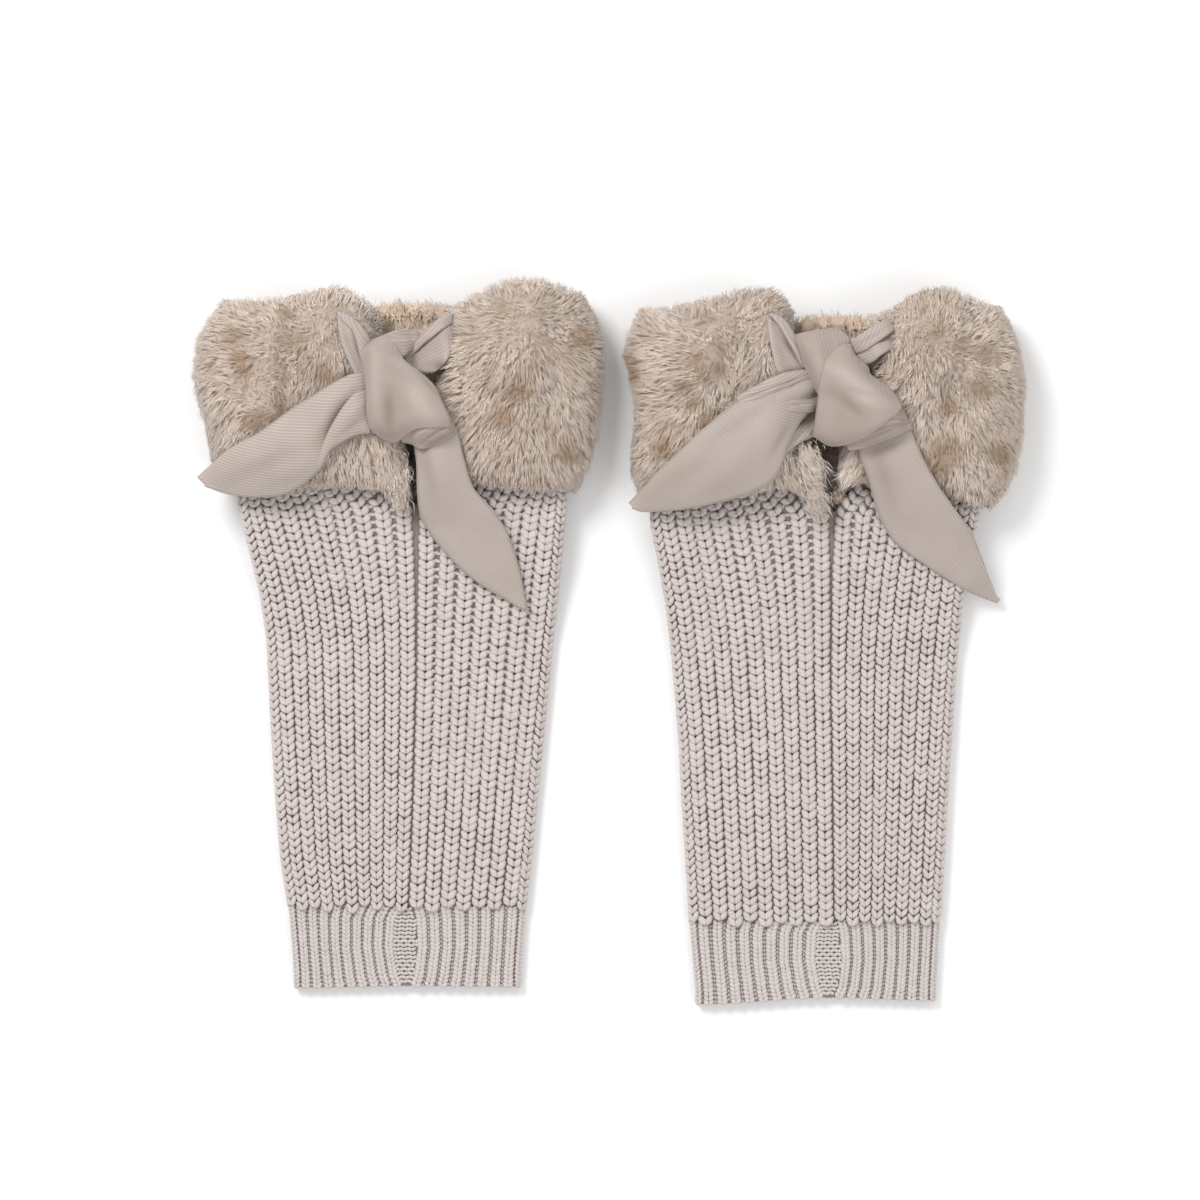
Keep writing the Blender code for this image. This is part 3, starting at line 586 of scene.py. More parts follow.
def yarn_grain(segments, rings, length, width, height, blunt):
    """A grain of yarn lying along Y with its crown towards +Z, modelled from a sphere."""
    bpy.ops.object.select_all(action="DESELECT")
    bpy.ops.mesh.primitive_uv_sphere_add(segments=segments, ring_count=rings, radius=0.5)
    grain = bpy.context.object
    bpy.ops.object.mode_set(mode="EDIT")
    bpy.ops.mesh.select_all(action="SELECT")
    bpy.ops.transform.rotate(value=math.pi / 2, orient_axis="X", center_override=(0, 0, 0))
    bpy.ops.transform.resize(value=(width, length, height), center_override=(0, 0, 0))
    bpy.ops.object.mode_set(mode="OBJECT")
    for vertex in grain.data.vertices:
        along = abs(vertex.co.y) / (length / 2)
        vertex.co.x *= 1 - (1 - blunt) * along**2
        vertex.co.z *= FLAT_BELOW if vertex.co.z < 0 else 1.0
    shape = read_shape(grain, height)
    bpy.data.objects.remove(grain)
    return shape


def read_shape(obj, height):
    """An object's mesh as arrays that can be copied many times."""
    mesh = obj.data
    points = np.array([vertex.co for vertex in mesh.vertices])
    loops = np.array([loop.vertex_index for loop in mesh.loops])
    starts = np.array([face.loop_start for face in mesh.polygons])
    uvs = np.array([loop.uv for loop in mesh.uv_layers[0].data])
    crown = np.clip(points[:, 2] / (height / 2), -1, 1)
    return Shape(points, loops, starts, uvs, crown)


def copies(name, shape, at, right, along, out, tones):
    """One mesh that holds a copy of a shape at each place, turned to three directions there."""
    points = at[:, None, :]
    for axis, direction in enumerate((right, along, out)):
        points = points + shape.points[None, :, axis, None] * direction[:, None, :]
    points[..., 2] = np.maximum(points[..., 2], 0.0)
    return mesh_of(name, shape, points, {
        "tone": np.repeat(tones, len(shape.points)),
        "crown": np.tile(shape.crown, len(at)),
    })


def mesh_of(name, shape, points, attributes):
    """An object from the points of many copies of a shape, in millimetres."""
    count, size = points.shape[:2]
    mesh = bpy.data.meshes.new(name)
    mesh.vertices.add(count * size)
    mesh.vertices.foreach_set("co", np.ascontiguousarray(points * MM).ravel())
    steps = np.arange(count)[:, None]
    mesh.loops.add(count * len(shape.loops))
    mesh.loops.foreach_set("vertex_index", (shape.loops[None, :] + steps * size).ravel())
    mesh.polygons.add(count * len(shape.starts))
    mesh.polygons.foreach_set("loop_start", (shape.starts[None, :] + steps * len(shape.loops)).ravel())
    uv_map = mesh.uv_layers.new(name="UVMap")
    uv_map.data.foreach_set("uv", np.tile(shape.uvs, (count, 1)).ravel())
    mesh.update(calc_edges=True)
    for key, values in attributes.items():
        store(mesh, key, values)
    mesh.shade_smooth()
    return add_object(name, mesh)


def store(mesh, name, values):
    mesh.attributes.new(name, "FLOAT", "POINT").data.foreach_set("value", values)


def unit(vectors):
    return vectors / np.linalg.norm(vectors, axis=-1, keepdims=True)


def triangles(objects):
    return sum(len(obj.data.loops) - 2 * len(obj.data.polygons) for obj in objects)


KNIT_LEG = yarn_grain(7, 5, length=5.9, width=3.15, height=2.9, blunt=0.74)
PLAIN_LEG = yarn_grain(6, 3, length=5.9, width=3.15, height=2.6, blunt=0.76)
PURL_LOOP = yarn_grain(6, 3, length=4.2, width=2.3, height=2.0, blunt=0.8)
print("faces of a stitch leg:", len(KNIT_LEG.starts))

# %% [markdown]
# The stitches go up each rib in rows. At each place the direction of the rib comes from a point a
# little further up, so ribs lean and bend round the foot of the slit as they do on the real knitting.
# Ribs are wider where the tube is, and the stitches widen with them up to a limit. Small random shifts
# and a different start for each rib keep the rows from looking machined.

# %% Stitches of the knit body
Gauge = namedtuple("Gauge", "rib row lean spread depth loop_depth widest")
KNIT_GAUGE = Gauge(rib=6.85, row=3.8, lean=math.radians(32), spread=1.55, depth=1.35, loop_depth=2.2,
                   widest=1.22)
AHEAD = 1.0
HALF_RIB = 0.45
UNEVEN_START, UNEVEN_ROW, UNEVEN_LEAN, UNEVEN_SIZE = 0.2, 0.03, 0.10, 0.05
TIP_DOWN = 0.13
SLIMMEST = 0.78
LOOP_WIDTHS = (0.8, 1.3)
# The highest tone of a purl loop, so the loops are a little darker than the stitches: partly painted
# shade of the valleys they lie in, partly a browner tone of their own.
SHADED_LOOP_TONE = 0.7


def frame_on(leg, part, rib, up, depth):
    """Points on a tube, with the directions to the right, along the rib and outwards at each."""
    point, out = on_tube(leg, part, rib, up, depth)
    ahead, _ = on_tube(leg, part, rib, np.asarray(up) + AHEAD, depth)
    along = unit(ahead - point)
    right = unit(np.cross(along, out))
    return point, right, along, unit(np.cross(right, along))


def rib_width(leg, part, rib, up):
    before, _ = on_tube(leg, part, rib - HALF_RIB, up)
    after, _ = on_tube(leg, part, rib + HALF_RIB, up)
    return np.linalg.norm(after - before, axis=-1) / (2 * HALF_RIB)


def places_in_rows(ribs, low, high, row, stagger):
    """Rib numbers and heights of every stitch, with a start of its own for each rib."""
    shifts = rng.uniform(-UNEVEN_START, UNEVEN_START, len(ribs))
    starts = stagger * (np.arange(len(ribs)) % 2) + shifts * (stagger > 0)
    rows = np.arange(low + row / 2, high, row)
    rib, up = (grid.ravel() for grid in np.meshgrid(ribs, rows))
    up = up + np.tile(starts, len(rows)) * row
    keep = up < high
    return rib[keep], up[keep] + rng.normal(0, UNEVEN_ROW * row, keep.sum())


def v_stitches(name, leg, part, shape, ribs, low, high, gauge, size=1.0, stagger=0.5):
    """Pairs of stitch legs up each rib."""
    rib, up = places_in_rows(ribs, low, high, gauge.row, stagger)
    at, right, along, out = frame_on(leg, part, rib, up, gauge.depth)
    wide = np.clip(rib_width(leg, part, rib, up) / gauge.rib, SLIMMEST, gauge.widest)[:, None]
    pieces = []
    for side in (-1, 1):
        turn = gauge.lean * (1 + rng.normal(0, UNEVEN_LEAN, len(up)))[:, None] * side
        leg_along = unit(along * np.cos(turn) + right * np.sin(turn) * wide - out * TIP_DOWN)
        leg_right = unit(np.cross(leg_along, out))
        leg_out = np.cross(leg_right, leg_along)
        plump = size * (1 + rng.normal(0, UNEVEN_SIZE, len(up)))[:, None]
        pieces.append((at + right * side * gauge.spread * wide, leg_right * plump * wide,
                       leg_along * plump, leg_out * size))
    stacked = [np.concatenate(values) for values in zip(*pieces)]
    return copies(name, shape, *stacked, rng.uniform(0, 1, len(stacked[0])))


def purl_loops(name, leg, part, shape, ribs, low, high, gauge, size=1.0, slant=0.25, narrowest=0.0):
    """Small loops that lie across the valleys, where the ribs are wide enough to show them."""
    rib, up = places_in_rows(ribs, low, high, gauge.row, 0.5)
    open_here = rib_width(leg, part, rib, up) > narrowest
    rib, up = rib[open_here], up[open_here]
    at, right, along, out = frame_on(leg, part, rib, up, gauge.loop_depth)
    wide = np.clip(rib_width(leg, part, rib + 0.5, up) / gauge.rib, *LOOP_WIDTHS)[:, None]
    tilt = np.where(rng.uniform(0, 1, len(up)) < 0.5, slant, -slant)[:, None]
    loop_along = unit(right + along * tilt)
    loop_right = unit(np.cross(loop_along, out))
    return copies(name, shape, at, loop_right * size, loop_along * size * wide, out * size,
                  rng.uniform(0, SHADED_LOOP_TONE, len(up)))


def front_and_side_ribs(counts):
    return np.arange(-counts[0] - SIDE_RIBS + 0.5, counts[1] + SIDE_RIBS, 1.0)


def back_ribs(counts):
    return counts[1] + SIDE_RIBS + np.arange(0.5, sum(counts), 1.0)


def valleys(counts):
    """The rib numbers between the ribs. The seam is left out, because it has no loops in it."""
    numbers = np.arange(-counts[0] - 1, counts[1] + 2, dtype=float)
    return numbers[numbers != 0]


KNIT_FOOT = HEM_TOP - 2.6
BARE_EDGE = 2
stitches = {}
for leg in LEGS:
    ribs, top = leg.knit_ribs, leg.notch_foot + KNIT_ABOVE_SLIT - BARE_EDGE
    stitches[leg.name, "knit"] = [
        v_stitches(f"{leg.name}_knit_stitches", leg, "knit", KNIT_LEG, front_and_side_ribs(ribs),
                   KNIT_FOOT, top, KNIT_GAUGE),
        purl_loops(f"{leg.name}_knit_purl_loops", leg, "knit", PURL_LOOP, valleys(ribs),
                   HEM_TOP, top, KNIT_GAUGE, narrowest=8.0),
        v_stitches(f"{leg.name}_back_stitches", leg, "knit", PLAIN_LEG, back_ribs(ribs),
                   KNIT_FOOT, top, KNIT_GAUGE),
    ]
print("triangles of the left knit:", triangles(stitches["left", "knit"]))

# %% [markdown]
# The hem is knitted on finer needles. Its ribs are plump chains of small Vs with purl loops sunk
# between them, and where the ribs part at the front an almond of plain purl fills the space.

# %% Stitches of the hem
HEM_GAUGE = Gauge(rib=5.6, row=1.98, lean=math.radians(32), spread=1.02, depth=0.95, loop_depth=1.75,
                  widest=1.15)
HEM_LEG = yarn_grain(6, 4, length=3.6, width=2.45, height=2.0, blunt=0.78)
HEM_LOOP = yarn_grain(6, 3, length=2.9, width=2.1, height=1.7, blunt=0.85)
HEM_FOOT = 0.4
ALMOND_ROWS = (2.8, HEM_TOP - 1.5)
ALMOND_EDGES = (0.2, 0.4)
ALMOND_GAP, ALMOND_SUNK, ALMOND_SLANT = 1.8, 1.1, 0.5


def almond_loops(leg):
    """The purl that fills the almond, as rows of loops that slant to and fro."""
    rows = np.arange(*ALMOND_ROWS, HEM_GAUGE.row)
    left, right = column(leg.almond, "left", rows), column(leg.almond, "right", rows)
    spots = [(x, up) for low, high, up in zip(left, right, rows)
             for x in np.arange(low + ALMOND_EDGES[0], high + ALMOND_EDGES[1], ALMOND_GAP)]
    x, up = np.array(spots).T
    at = in_frame(leg, x, height_up(leg, x, up), underside(leg, up) + TUBE["hem"] - ALMOND_SUNK)
    out = np.tile([0.0, 0.0, 1.0], (len(at), 1))
    slant = np.where(np.arange(len(at)) % 2, ALMOND_SLANT, -ALMOND_SLANT)
    along = unit(np.stack([np.ones(len(at)), slant, np.zeros(len(at))], -1))
    return copies(f"{leg.name}_almond_of_purl", HEM_LOOP, at, np.cross(along, out), along, out,
                  rng.uniform(0, 1, len(at)))


for leg in LEGS:
    ribs = leg.hem_ribs
    stitches[leg.name, "hem"] = [
        v_stitches(f"{leg.name}_hem_stitches", leg, "hem", HEM_LEG, front_and_side_ribs(ribs),
                   HEM_FOOT, HEM_TOP, HEM_GAUGE, stagger=0.0),
        v_stitches(f"{leg.name}_hem_back_stitches", leg, "hem", HEM_LOOP, back_ribs(ribs),
                   HEM_FOOT, HEM_TOP, HEM_GAUGE, size=1.15, stagger=0.0),
        purl_loops(f"{leg.name}_hem_purl_loops", leg, "hem", HEM_LOOP, valleys(ribs),
                   HEM_FOOT, HEM_TOP - 0.6, HEM_GAUGE, size=0.7, slant=0.45),
        almond_loops(leg),
    ]
print("triangles of the left hem:", triangles(stitches["left", "hem"]))

# %% [markdown]
# The yarn is a matt, pale grey beige with a pink cast. Twisted plies run round each stitch leg, which a
# sine of its UV map draws, and a little fuzz comes from noise. Deep places between stitches look brown,
# because light that gets there has bounced off yarn, so the sides of each grain go darker than its
# crown.

# %% Yarn finish
def yarn(name, pale, deep, twist, ply_depth):
    finish = Finish(name, 0.92, sheen=0.2)
    uv = finish.node("ShaderNodeUVMap")
    around = finish.node("ShaderNodeSeparateXYZ", "X", Vector=uv)
    along = Shade(finish.tree, around.socket.node.outputs["Y"])
    plies = ((along * twist + around * 2.0) * (2 * math.pi)).sin()
    fuzz = finish.noise(2600, 2.0)
    patches = finish.noise(38, 2.0)
    crown = finish.attribute("crown").between(-0.85, 0.5)
    tone = finish.attribute("tone")
    shade = crown * (0.80 + tone * 0.14 + patches * 0.12) + plies * 0.05
    finish.bump(plies * 0.5 + fuzz * 0.6, ply_depth, 0.8)
    return finish.paint(finish.blend(shade, deep, pale))


# Painted shade: the ground's yarn is painted dark brown, the shade seen between the stitches.
def ground_yarn_in_painted_shade():
    finish = Finish("ground yarn", 0.95)
    return finish.paint(finish.blend(finish.noise(900), (0.19, 0.14, 0.12), (0.36, 0.285, 0.25)))


KNIT_YARN = yarn("knit yarn", (0.63, 0.565, 0.54), (0.24, 0.185, 0.165), 3.0, 0.0004)
HEM_YARN = yarn("hem yarn", (0.60, 0.555, 0.53), (0.33, 0.275, 0.25), 2.0, 0.0002)
GROUND_YARN_IN_PAINTED_SHADE = ground_yarn_in_painted_shade()
for leg in LEGS:
    for part, finish in (("knit", KNIT_YARN), ("hem", HEM_YARN)):
        coat([grounds[leg.name, part]], GROUND_YARN_IN_PAINTED_SHADE)
        coat(stitches[leg.name, part], finish)
print("yarn finishes: 3")

# %% [markdown]
# Faux fur is a dense pile on a cloth back. The back is the solid of the cuff, drawn in by about the
# height of the pile. Copying the solid keeps its form, and shrinking along its faces is what the edit
# mode operator shrink_fatten does.

# %% Cloth under the fur
PILE_HEIGHT = 2.6


def shrink():
    bpy.ops.transform.shrink_fatten(value=-PILE_HEIGHT * MM)


def fur_backing(leg):
    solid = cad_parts[f"{leg.name}_fur_cuff"]
    obj = add_object(f"{leg.name}_fur_backing", solid.data.copy())
    obj.data.materials.clear()
    in_edit_mode(obj, merge_and_face_out)
    smooth = obj.modifiers.new("rounder", "SUBSURF")
    smooth.levels = smooth.render_levels = 1
    bpy.ops.object.modifier_apply(modifier=smooth.name)
    in_edit_mode(obj, shrink)
    obj.data.shade_smooth()
    return obj


backings = {leg.name: fur_backing(leg) for leg in LEGS}
print("backing faces:", len(backings["left"].data.polygons))

# %% [markdown]
# The pile is made of small locks. One lock is a slim spindle with three sides: a cylinder is cut across
# its middle, and both of its ends are merged to points.

# %% One lock of fur
END_PART = 0.4


def end_to_point(obj, side):
    """Merges the vertices at one end of a mesh into a point."""
    for vertex in obj.data.vertices:
        vertex.select = vertex.co.z * side > END_PART
    for edge in obj.data.edges:
        edge.select = all(obj.data.vertices[i].select for i in edge.vertices)
    for face in obj.data.polygons:
        face.select = all(obj.data.vertices[i].select for i in face.vertices)
    bpy.ops.object.mode_set(mode="EDIT")
    bpy.ops.mesh.merge(type="CENTER")
    bpy.ops.object.mode_set(mode="OBJECT")


def cut_middle():
    bpy.ops.mesh.bisect(plane_co=(0, 0, 0), plane_no=(0, 0, 1))


def lock_shape():
    bpy.ops.object.select_all(action="DESELECT")
    bpy.ops.mesh.primitive_cylinder_add(vertices=3, radius=1, depth=1, location=(0, 0, 0))
    lock = bpy.context.object
    in_edit_mode(lock, cut_middle)
    for side in (-1, 1):
        end_to_point(lock, side)
    shape = read_shape(lock, 1.0)
    bpy.data.objects.remove(lock)
    return shape


LOCK = lock_shape()
print("faces of a lock:", len(LOCK.starts), "points:", len(LOCK.points))

# %% [markdown]
# Tens of thousands of locks are set at random on the backing, and fewer on its underside, which lies on
# the table. Some more make the lining, the fur inside the back that shows through the slit, whose locks
# are painted nearly black as the shade in there, and the fills. Locks that stand together form a tuft,
# and one of them leads it, as real fur falls into tufts.

# %% Where the locks stand
LOCK_COUNT = {"seen": 55500, "under": 4200, "lining": 1300, "fill": 300}
FACES_DOWN = -0.55
LINING_UP, LINING_ACROSS, LINING_RISE = (-2, 42), (-10, 12), 2.8
FILL_SPREAD, FILL_FLATNESS = 0.6, 0.5
TUFT_SPACING = 4.5


def sample_backing(leg):
    """Random points on a backing, in millimetres, with their outward directions."""
    mesh = backings[leg.name].data
    mesh.calc_loop_triangles()
    points = np.array([vertex.co for vertex in mesh.vertices]) / MM
    normals = np.array([vertex.normal for vertex in mesh.vertices])
    corners = np.array([triangle.vertices[:] for triangle in mesh.loop_triangles])
    a, b, c = (points[corners[:, i]] for i in range(3))
    areas = np.linalg.norm(np.cross(b - a, c - a), axis=1) / 2
    under = normals[corners].mean(1)[:, 2] < FACES_DOWN
    chosen = []
    for count, group in ((LOCK_COUNT["seen"], ~under), (LOCK_COUNT["under"], under)):
        weights = np.where(group, areas, 0)
        chosen.append(rng.choice(len(areas), count, p=weights / weights.sum()))
    chosen = np.concatenate(chosen)
    u, v = rng.uniform(0, 1, (2, len(chosen)))
    flip = u + v > 1
    u, v = np.where(flip, 1 - u, u)[:, None], np.where(flip, 1 - v, v)[:, None]
    at = a[chosen] + u * (b - a)[chosen] + v * (c - a)[chosen]
    n0, n1, n2 = (normals[corners[chosen, i]] for i in range(3))
    return at, unit(n0 + u * (n1 - n0) + v * (n2 - n0))


def lining(leg, count):
    """Points on the fur inside the back, which shows through the slit."""
    up = leg.notch_foot + rng.uniform(*LINING_UP, count)
    across = column(leg.seam, "across", up) + rng.uniform(*LINING_ACROSS, count)
    return in_frame(leg, across, up, underside(leg, up) + LINING_RISE)


def filling(leg, count):
    """Points around each fill."""
    fills = np.repeat(np.array(leg.fills, float), count, axis=0)
    spread = rng.normal(0, FILL_SPREAD, (len(fills), 3)) * fills[:, 2:3]
    spread[:, 2] *= FILL_FLATNESS
    return fills[:, [0, 1, 3]] + np.array([*leg.place, 0.0]) + spread


def tuft_leaders(at):
    """For each lock, the one that leads its tuft: the nearest of those picked to lead."""
    leaders = rng.permutation(len(at))[: int(len(at) / TUFT_SPACING**2)]
    search = KDTree(len(leaders))
    for i, leader in enumerate(leaders):
        search.insert(at[leader], i)
    search.balance()
    return np.array([leaders[search.find(point)[1]] for point in at])


print("locks set at random:", sum(LOCK_COUNT[group] for group in ("seen", "under")), "on each cuff")

# %% [markdown]
# The tables are read at each root: the comb says which way the pile lies, and the spots say where it is
# thin, sunk in painted shade, long, or painted a lighter caramel, partly its own colour and partly
# light against the shade of the flaps. A fill that lies low is inside the cuff, and a high one is on
# the rim of the slit.

# %% What is known at each root
COMB_BLUR, COMB_SHARPNESS, COMB_DOWN = 5.0, 4, -0.5
SPOT_EDGE = 3
INSIDE_HEIGHT = 18.0
ON_BACKING, IN_LINING, IN_FILL = range(3)
Roots = namedtuple("Roots", "at out kind leader low high_fill thin deep long warm")


def from_marks(leg, marks, at):
    """How far each point is from each mark of a table, on the table's plane."""
    place = at[:, :2] - np.array(leg.place)
    return np.linalg.norm(place[:, None, :] - marks[None, :, :2], axis=-1)


def combed(leg, at):
    """The way the pile is combed at each point, from the nearest strokes of the comb table."""
    strokes = np.array(leg.comb, float)
    weights = 1 / (from_marks(leg, strokes, at) + COMB_BLUR) ** COMB_SHARPNESS
    flow = (weights[..., None] * strokes[None, :, 2:]).sum(1) / weights.sum(1)[:, None]
    return np.concatenate([flow, np.full((len(at), 1), COMB_DOWN)], axis=1)


def in_spots(leg, spots, at):
    """How far into one of the spots each point is, from 0 to 1."""
    spots = np.array(spots, float)
    return np.exp(-((from_marks(leg, spots, at) / spots[None, :, 2]) ** SPOT_EDGE)).max(1)


def roots_of(leg):
    """Where every lock of a cuff stands, and what is known of it there."""
    at, out = sample_backing(leg)
    groups = (at, lining(leg, LOCK_COUNT["lining"]), filling(leg, LOCK_COUNT["fill"]))
    at = np.concatenate(groups)
    out = np.concatenate([out, np.tile([0.0, 0.0, 1.0], (len(at) - len(out), 1))])
    kind = np.repeat([ON_BACKING, IN_LINING, IN_FILL], [len(group) for group in groups])
    low = at[:, 2] < INSIDE_HEIGHT
    thin, deep, long, warm = (in_spots(leg, spots, at)
                              for spots in (leg.thin, leg.deep, leg.long, leg.warm))
    # Painted shade: the deep spots and every lock of the lining are painted nearly black; the fills get
    # none.
    deep = np.where(kind == IN_FILL, 0, np.maximum(deep, kind == IN_LINING))
    high_fill = (kind == IN_FILL) & ~low
    return Roots(at, out, kind, tuft_leaders(at), low, high_fill, thin, deep, long, warm)


print("strokes of the comb:", [len(leg.comb) for leg in LEGS])

# %% [markdown]
# Each lock curves from its root past a bend to its tip. The locks of a tuft wander and wave together,
# and lean a little to the tip of the one that leads them. None may stand out from the solid further
# than its own share of the fuzz, and a lock that lies under a ribbon is pressed flat by it.

# %% How the locks lie
LOCK_LENGTH, LENGTH_RANGE = 6.4, (0.55, 1.3)
RISE_RANGE = (0.7, 1.2)
THIN_SHORTER, THIN_LOWER, DEEP_LOWER, LONG_LONGER = 0.45, 0.25, 0.6, 0.4
FILL_LENGTH, LOW_FILL_LENGTH = 0.7, 0.5
LOCK_WANDER, TUFT_WANDER, FILL_WANDER = 0.17, 0.22, 0.22
TUFT_PULL, TUFT_REACH, TUFT_WAVE = 0.2, 6.0, 0.8
BEND_RISE, BEND_ALONG = 0.9, 0.3
FUZZ, FUZZ_LONG, FUZZ_BEND = 3.2, 4.5, 0.5
TUFT_FUZZ, OWN_FUZZ, FUZZ_CURVE = (0.3, 1.0), (0.7, 1.0), 1.5
RIBBON_CLEAR = 0.8


def press_under_ribbons(leg, points):
    """Keeps points below the ribbons that lie over them."""
    above = [trees[name] for name in trees if name.startswith(f"{leg.name}_ribbon")]
    up = Vector((0, 0, 1))
    for point in points:
        for tree in above:
            hit = tree.ray_cast(Vector((point[0], point[1], 0)), up)[0]
            if hit:
                point[2] = min(point[2], hit.z - RIBBON_CLEAR)


def held_in(leg, points, slack):
    """Draws points that stick out of the cuff's solid back to their slack above its surface."""
    solid = trees[f"{leg.name}_fur_cuff"]
    for i, point in enumerate(points):
        place, normal, _, away = solid.find_nearest(Vector(point))
        if away > slack[i] and (Vector(point) - place).dot(normal) > 0:
            points[i] = place + normal * slack[i]
    return points


def lie_of(leg, roots):
    """Which way each lock lies along its cloth: as combed, a little at random, and with its tuft."""
    shape = roots.at.shape
    flow = combed(leg, roots.at) + rng.normal(0, LOCK_WANDER, shape)
    flow = flow + rng.normal(0, TUFT_WANDER, shape)[roots.leader]
    flow = flow + rng.normal(0, FILL_WANDER, shape) * roots.high_fill[:, None]
    return flow - (flow * roots.out).sum(1)[:, None] * roots.out


def reach_of(roots):
    """How far each lock runs along its cloth, and how far it rises from it."""
    count = len(roots.at)
    length = LOCK_LENGTH * rng.uniform(*LENGTH_RANGE, count)
    length = length * (1 - THIN_SHORTER * roots.thin + LONG_LONGER * roots.long)
    fill = np.where(roots.low, LOW_FILL_LENGTH, FILL_LENGTH)
    length = length * np.where(roots.kind == IN_FILL, fill, 1.0)
    rise = PILE_HEIGHT * rng.uniform(*RISE_RANGE, count)
    rise = rise * (1 - THIN_LOWER * roots.thin) * (1 - DEEP_LOWER * roots.deep)
    return length[:, None], rise[:, None]


def bends_and_tips(leg, roots):
    """The bend and the tip of each lock."""
    at, out, leader, count = roots.at, roots.out, roots.leader, len(roots.at)
    flow = lie_of(leg, roots)
    length, rise = reach_of(roots)
    tips = at + out * rise + flow * length
    apart = tips[leader] - tips
    near = np.linalg.norm(apart, axis=1)[:, None] < TUFT_REACH
    tips = np.where(near, tips + apart * TUFT_PULL, tips)
    wave = np.cross(flow, out) * rng.normal(0, TUFT_WAVE, count)[leader][:, None]
    bends = at + out * rise * BEND_RISE + flow * length * BEND_ALONG + wave
    fuzz = (rng.uniform(*TUFT_FUZZ, count) ** FUZZ_CURVE)[leader] * rng.uniform(*OWN_FUZZ, count)
    fuzz = fuzz * (FUZZ + FUZZ_LONG * roots.long)
    on_backing = roots.kind == ON_BACKING
    for points, slack in ((tips, fuzz), (bends, fuzz * FUZZ_BEND)):
        points[on_backing] = held_in(leg, points[on_backing], slack[on_backing])
        press_under_ribbons(leg, points)
    return bends, tips


print("a lock is up to", round(LOCK_LENGTH * LENGTH_RANGE[1] * (1 + LONG_LONGER), 1), "mm long")

# %% [markdown]
# The lock is copied along each of these curves. What the colour depends on is stored with it. The
# normals of the copies mostly follow the cloth under them, so the pile is shaded as one soft mass. Each
# cuff is made as two pieces, a left and a right half, because that many locks are too many for one.

# %% The pile on each cuff
LOCK_WIDTH, WIDTH_RANGE = 0.2, (0.6, 1.4)
LEAST_HEIGHT = 0.1
OWN_TONE, TUFT_TONE = 0.45, 0.55
RIM, RIM_PAINTED_LIGHT, LONG_PALE, FILL_PALE, FILL_CARAMEL_AND_PAINTED_LIGHT = 0.75, 0.8, 0.5, (0.2, 0.8), 0.5
THIN_SPREAD, THIN_AT_TIP = 1.5, 0.6
NORMAL_OWN = 0.07
FUR_SIDES = ("left", "right")


def spindles(roots, bends, tips):
    """The points of every lock, set out round its curve."""
    at = roots.at
    side = unit(np.cross(tips - at, roots.out) + 1e-6)
    thick = unit(np.cross(tips - at, side))
    t = (LOCK.points[:, 2] + 0.5)[None, :, None]
    spine = (1 - t) ** 2 * at[:, None] + 2 * t * (1 - t) * bends[:, None] + t**2 * tips[:, None]
    slim = LOCK_WIDTH * rng.uniform(*WIDTH_RANGE, len(at))[:, None, None]
    points = spine + slim * (LOCK.points[None, :, 0, None] * side[:, None]
                             + LOCK.points[None, :, 1, None] * thick[:, None])
    points[..., 2] = np.maximum(points[..., 2], LEAST_HEIGHT)
    return points


def looks_of(leg, roots, tips):
    """What each lock's colour depends on, each from 0 to 1."""
    count, kind = len(roots.at), roots.kind
    tone = OWN_TONE * rng.uniform(0, 1, count) + TUFT_TONE * rng.uniform(0, 1, count)[roots.leader]
    # Partly painted light: high fills are painted paler and greyer, in their own whitish tone and as
    # light that lifts them out of their shade.
    pale = np.maximum(roots.long * LONG_PALE, roots.high_fill * rng.uniform(*FILL_PALE, count))
    # Painted light: where the cloth faces sideways, at the rims, the locks are painted paler, as rim
    # light.
    pale = np.maximum(pale, np.clip(1 - roots.out[:, 2] / RIM, 0, 1) * RIM_PAINTED_LIGHT)
    wider = [Spot(spot.across, spot.up, spot.reach * THIN_SPREAD) for spot in leg.thin]
    thin = in_spots(leg, wider, roots.at * (1 - THIN_AT_TIP) + tips * THIN_AT_TIP)
    # Partly the inside's own caramel and partly painted light: the warm spots and the low fills are
    # painted lighter, against the shade that the flaps cast. The lining gets none.
    warm = np.maximum(roots.warm, (kind == IN_FILL) * FILL_CARAMEL_AND_PAINTED_LIGHT) * roots.low * (kind != IN_LINING)
    return {"tone": tone, "thin": thin, "deep": roots.deep, "pale": pale, "warm": warm}


def fur_piece(name, points, out, looks):
    """An object of many locks."""
    size = len(LOCK.points)
    stored = {key: np.repeat(values, size) for key, values in looks.items()}
    stored["tip"] = np.tile(LOCK.points[:, 2] + 0.5, len(points))
    obj = mesh_of(name, LOCK, points, stored)
    own = np.empty(points.size)
    obj.data.vertices.foreach_get("normal", own)
    soft = unit(own.reshape(-1, 3) * NORMAL_OWN + np.repeat(out, size, axis=0))
    obj.data.normals_split_custom_set_from_vertices(soft)
    return obj


furs = {}
for leg in LEGS:
    roots = roots_of(leg)
    bends, tips = bends_and_tips(leg, roots)
    points = spindles(roots, bends, tips)
    looks = looks_of(leg, roots, tips)
    split = points[:, 0, 0] < np.median(points[:, 0, 0])
    for side, chosen in zip(FUR_SIDES, (split, ~split)):
        there = {key: values[chosen] for key, values in looks.items()}
        furs[leg.name, side] = fur_piece(f"{leg.name}_cuff_fur_{side}", points[chosen],
                                         roots.out[chosen], there)
    print(leg.name, "cuff:", len(points), "locks")
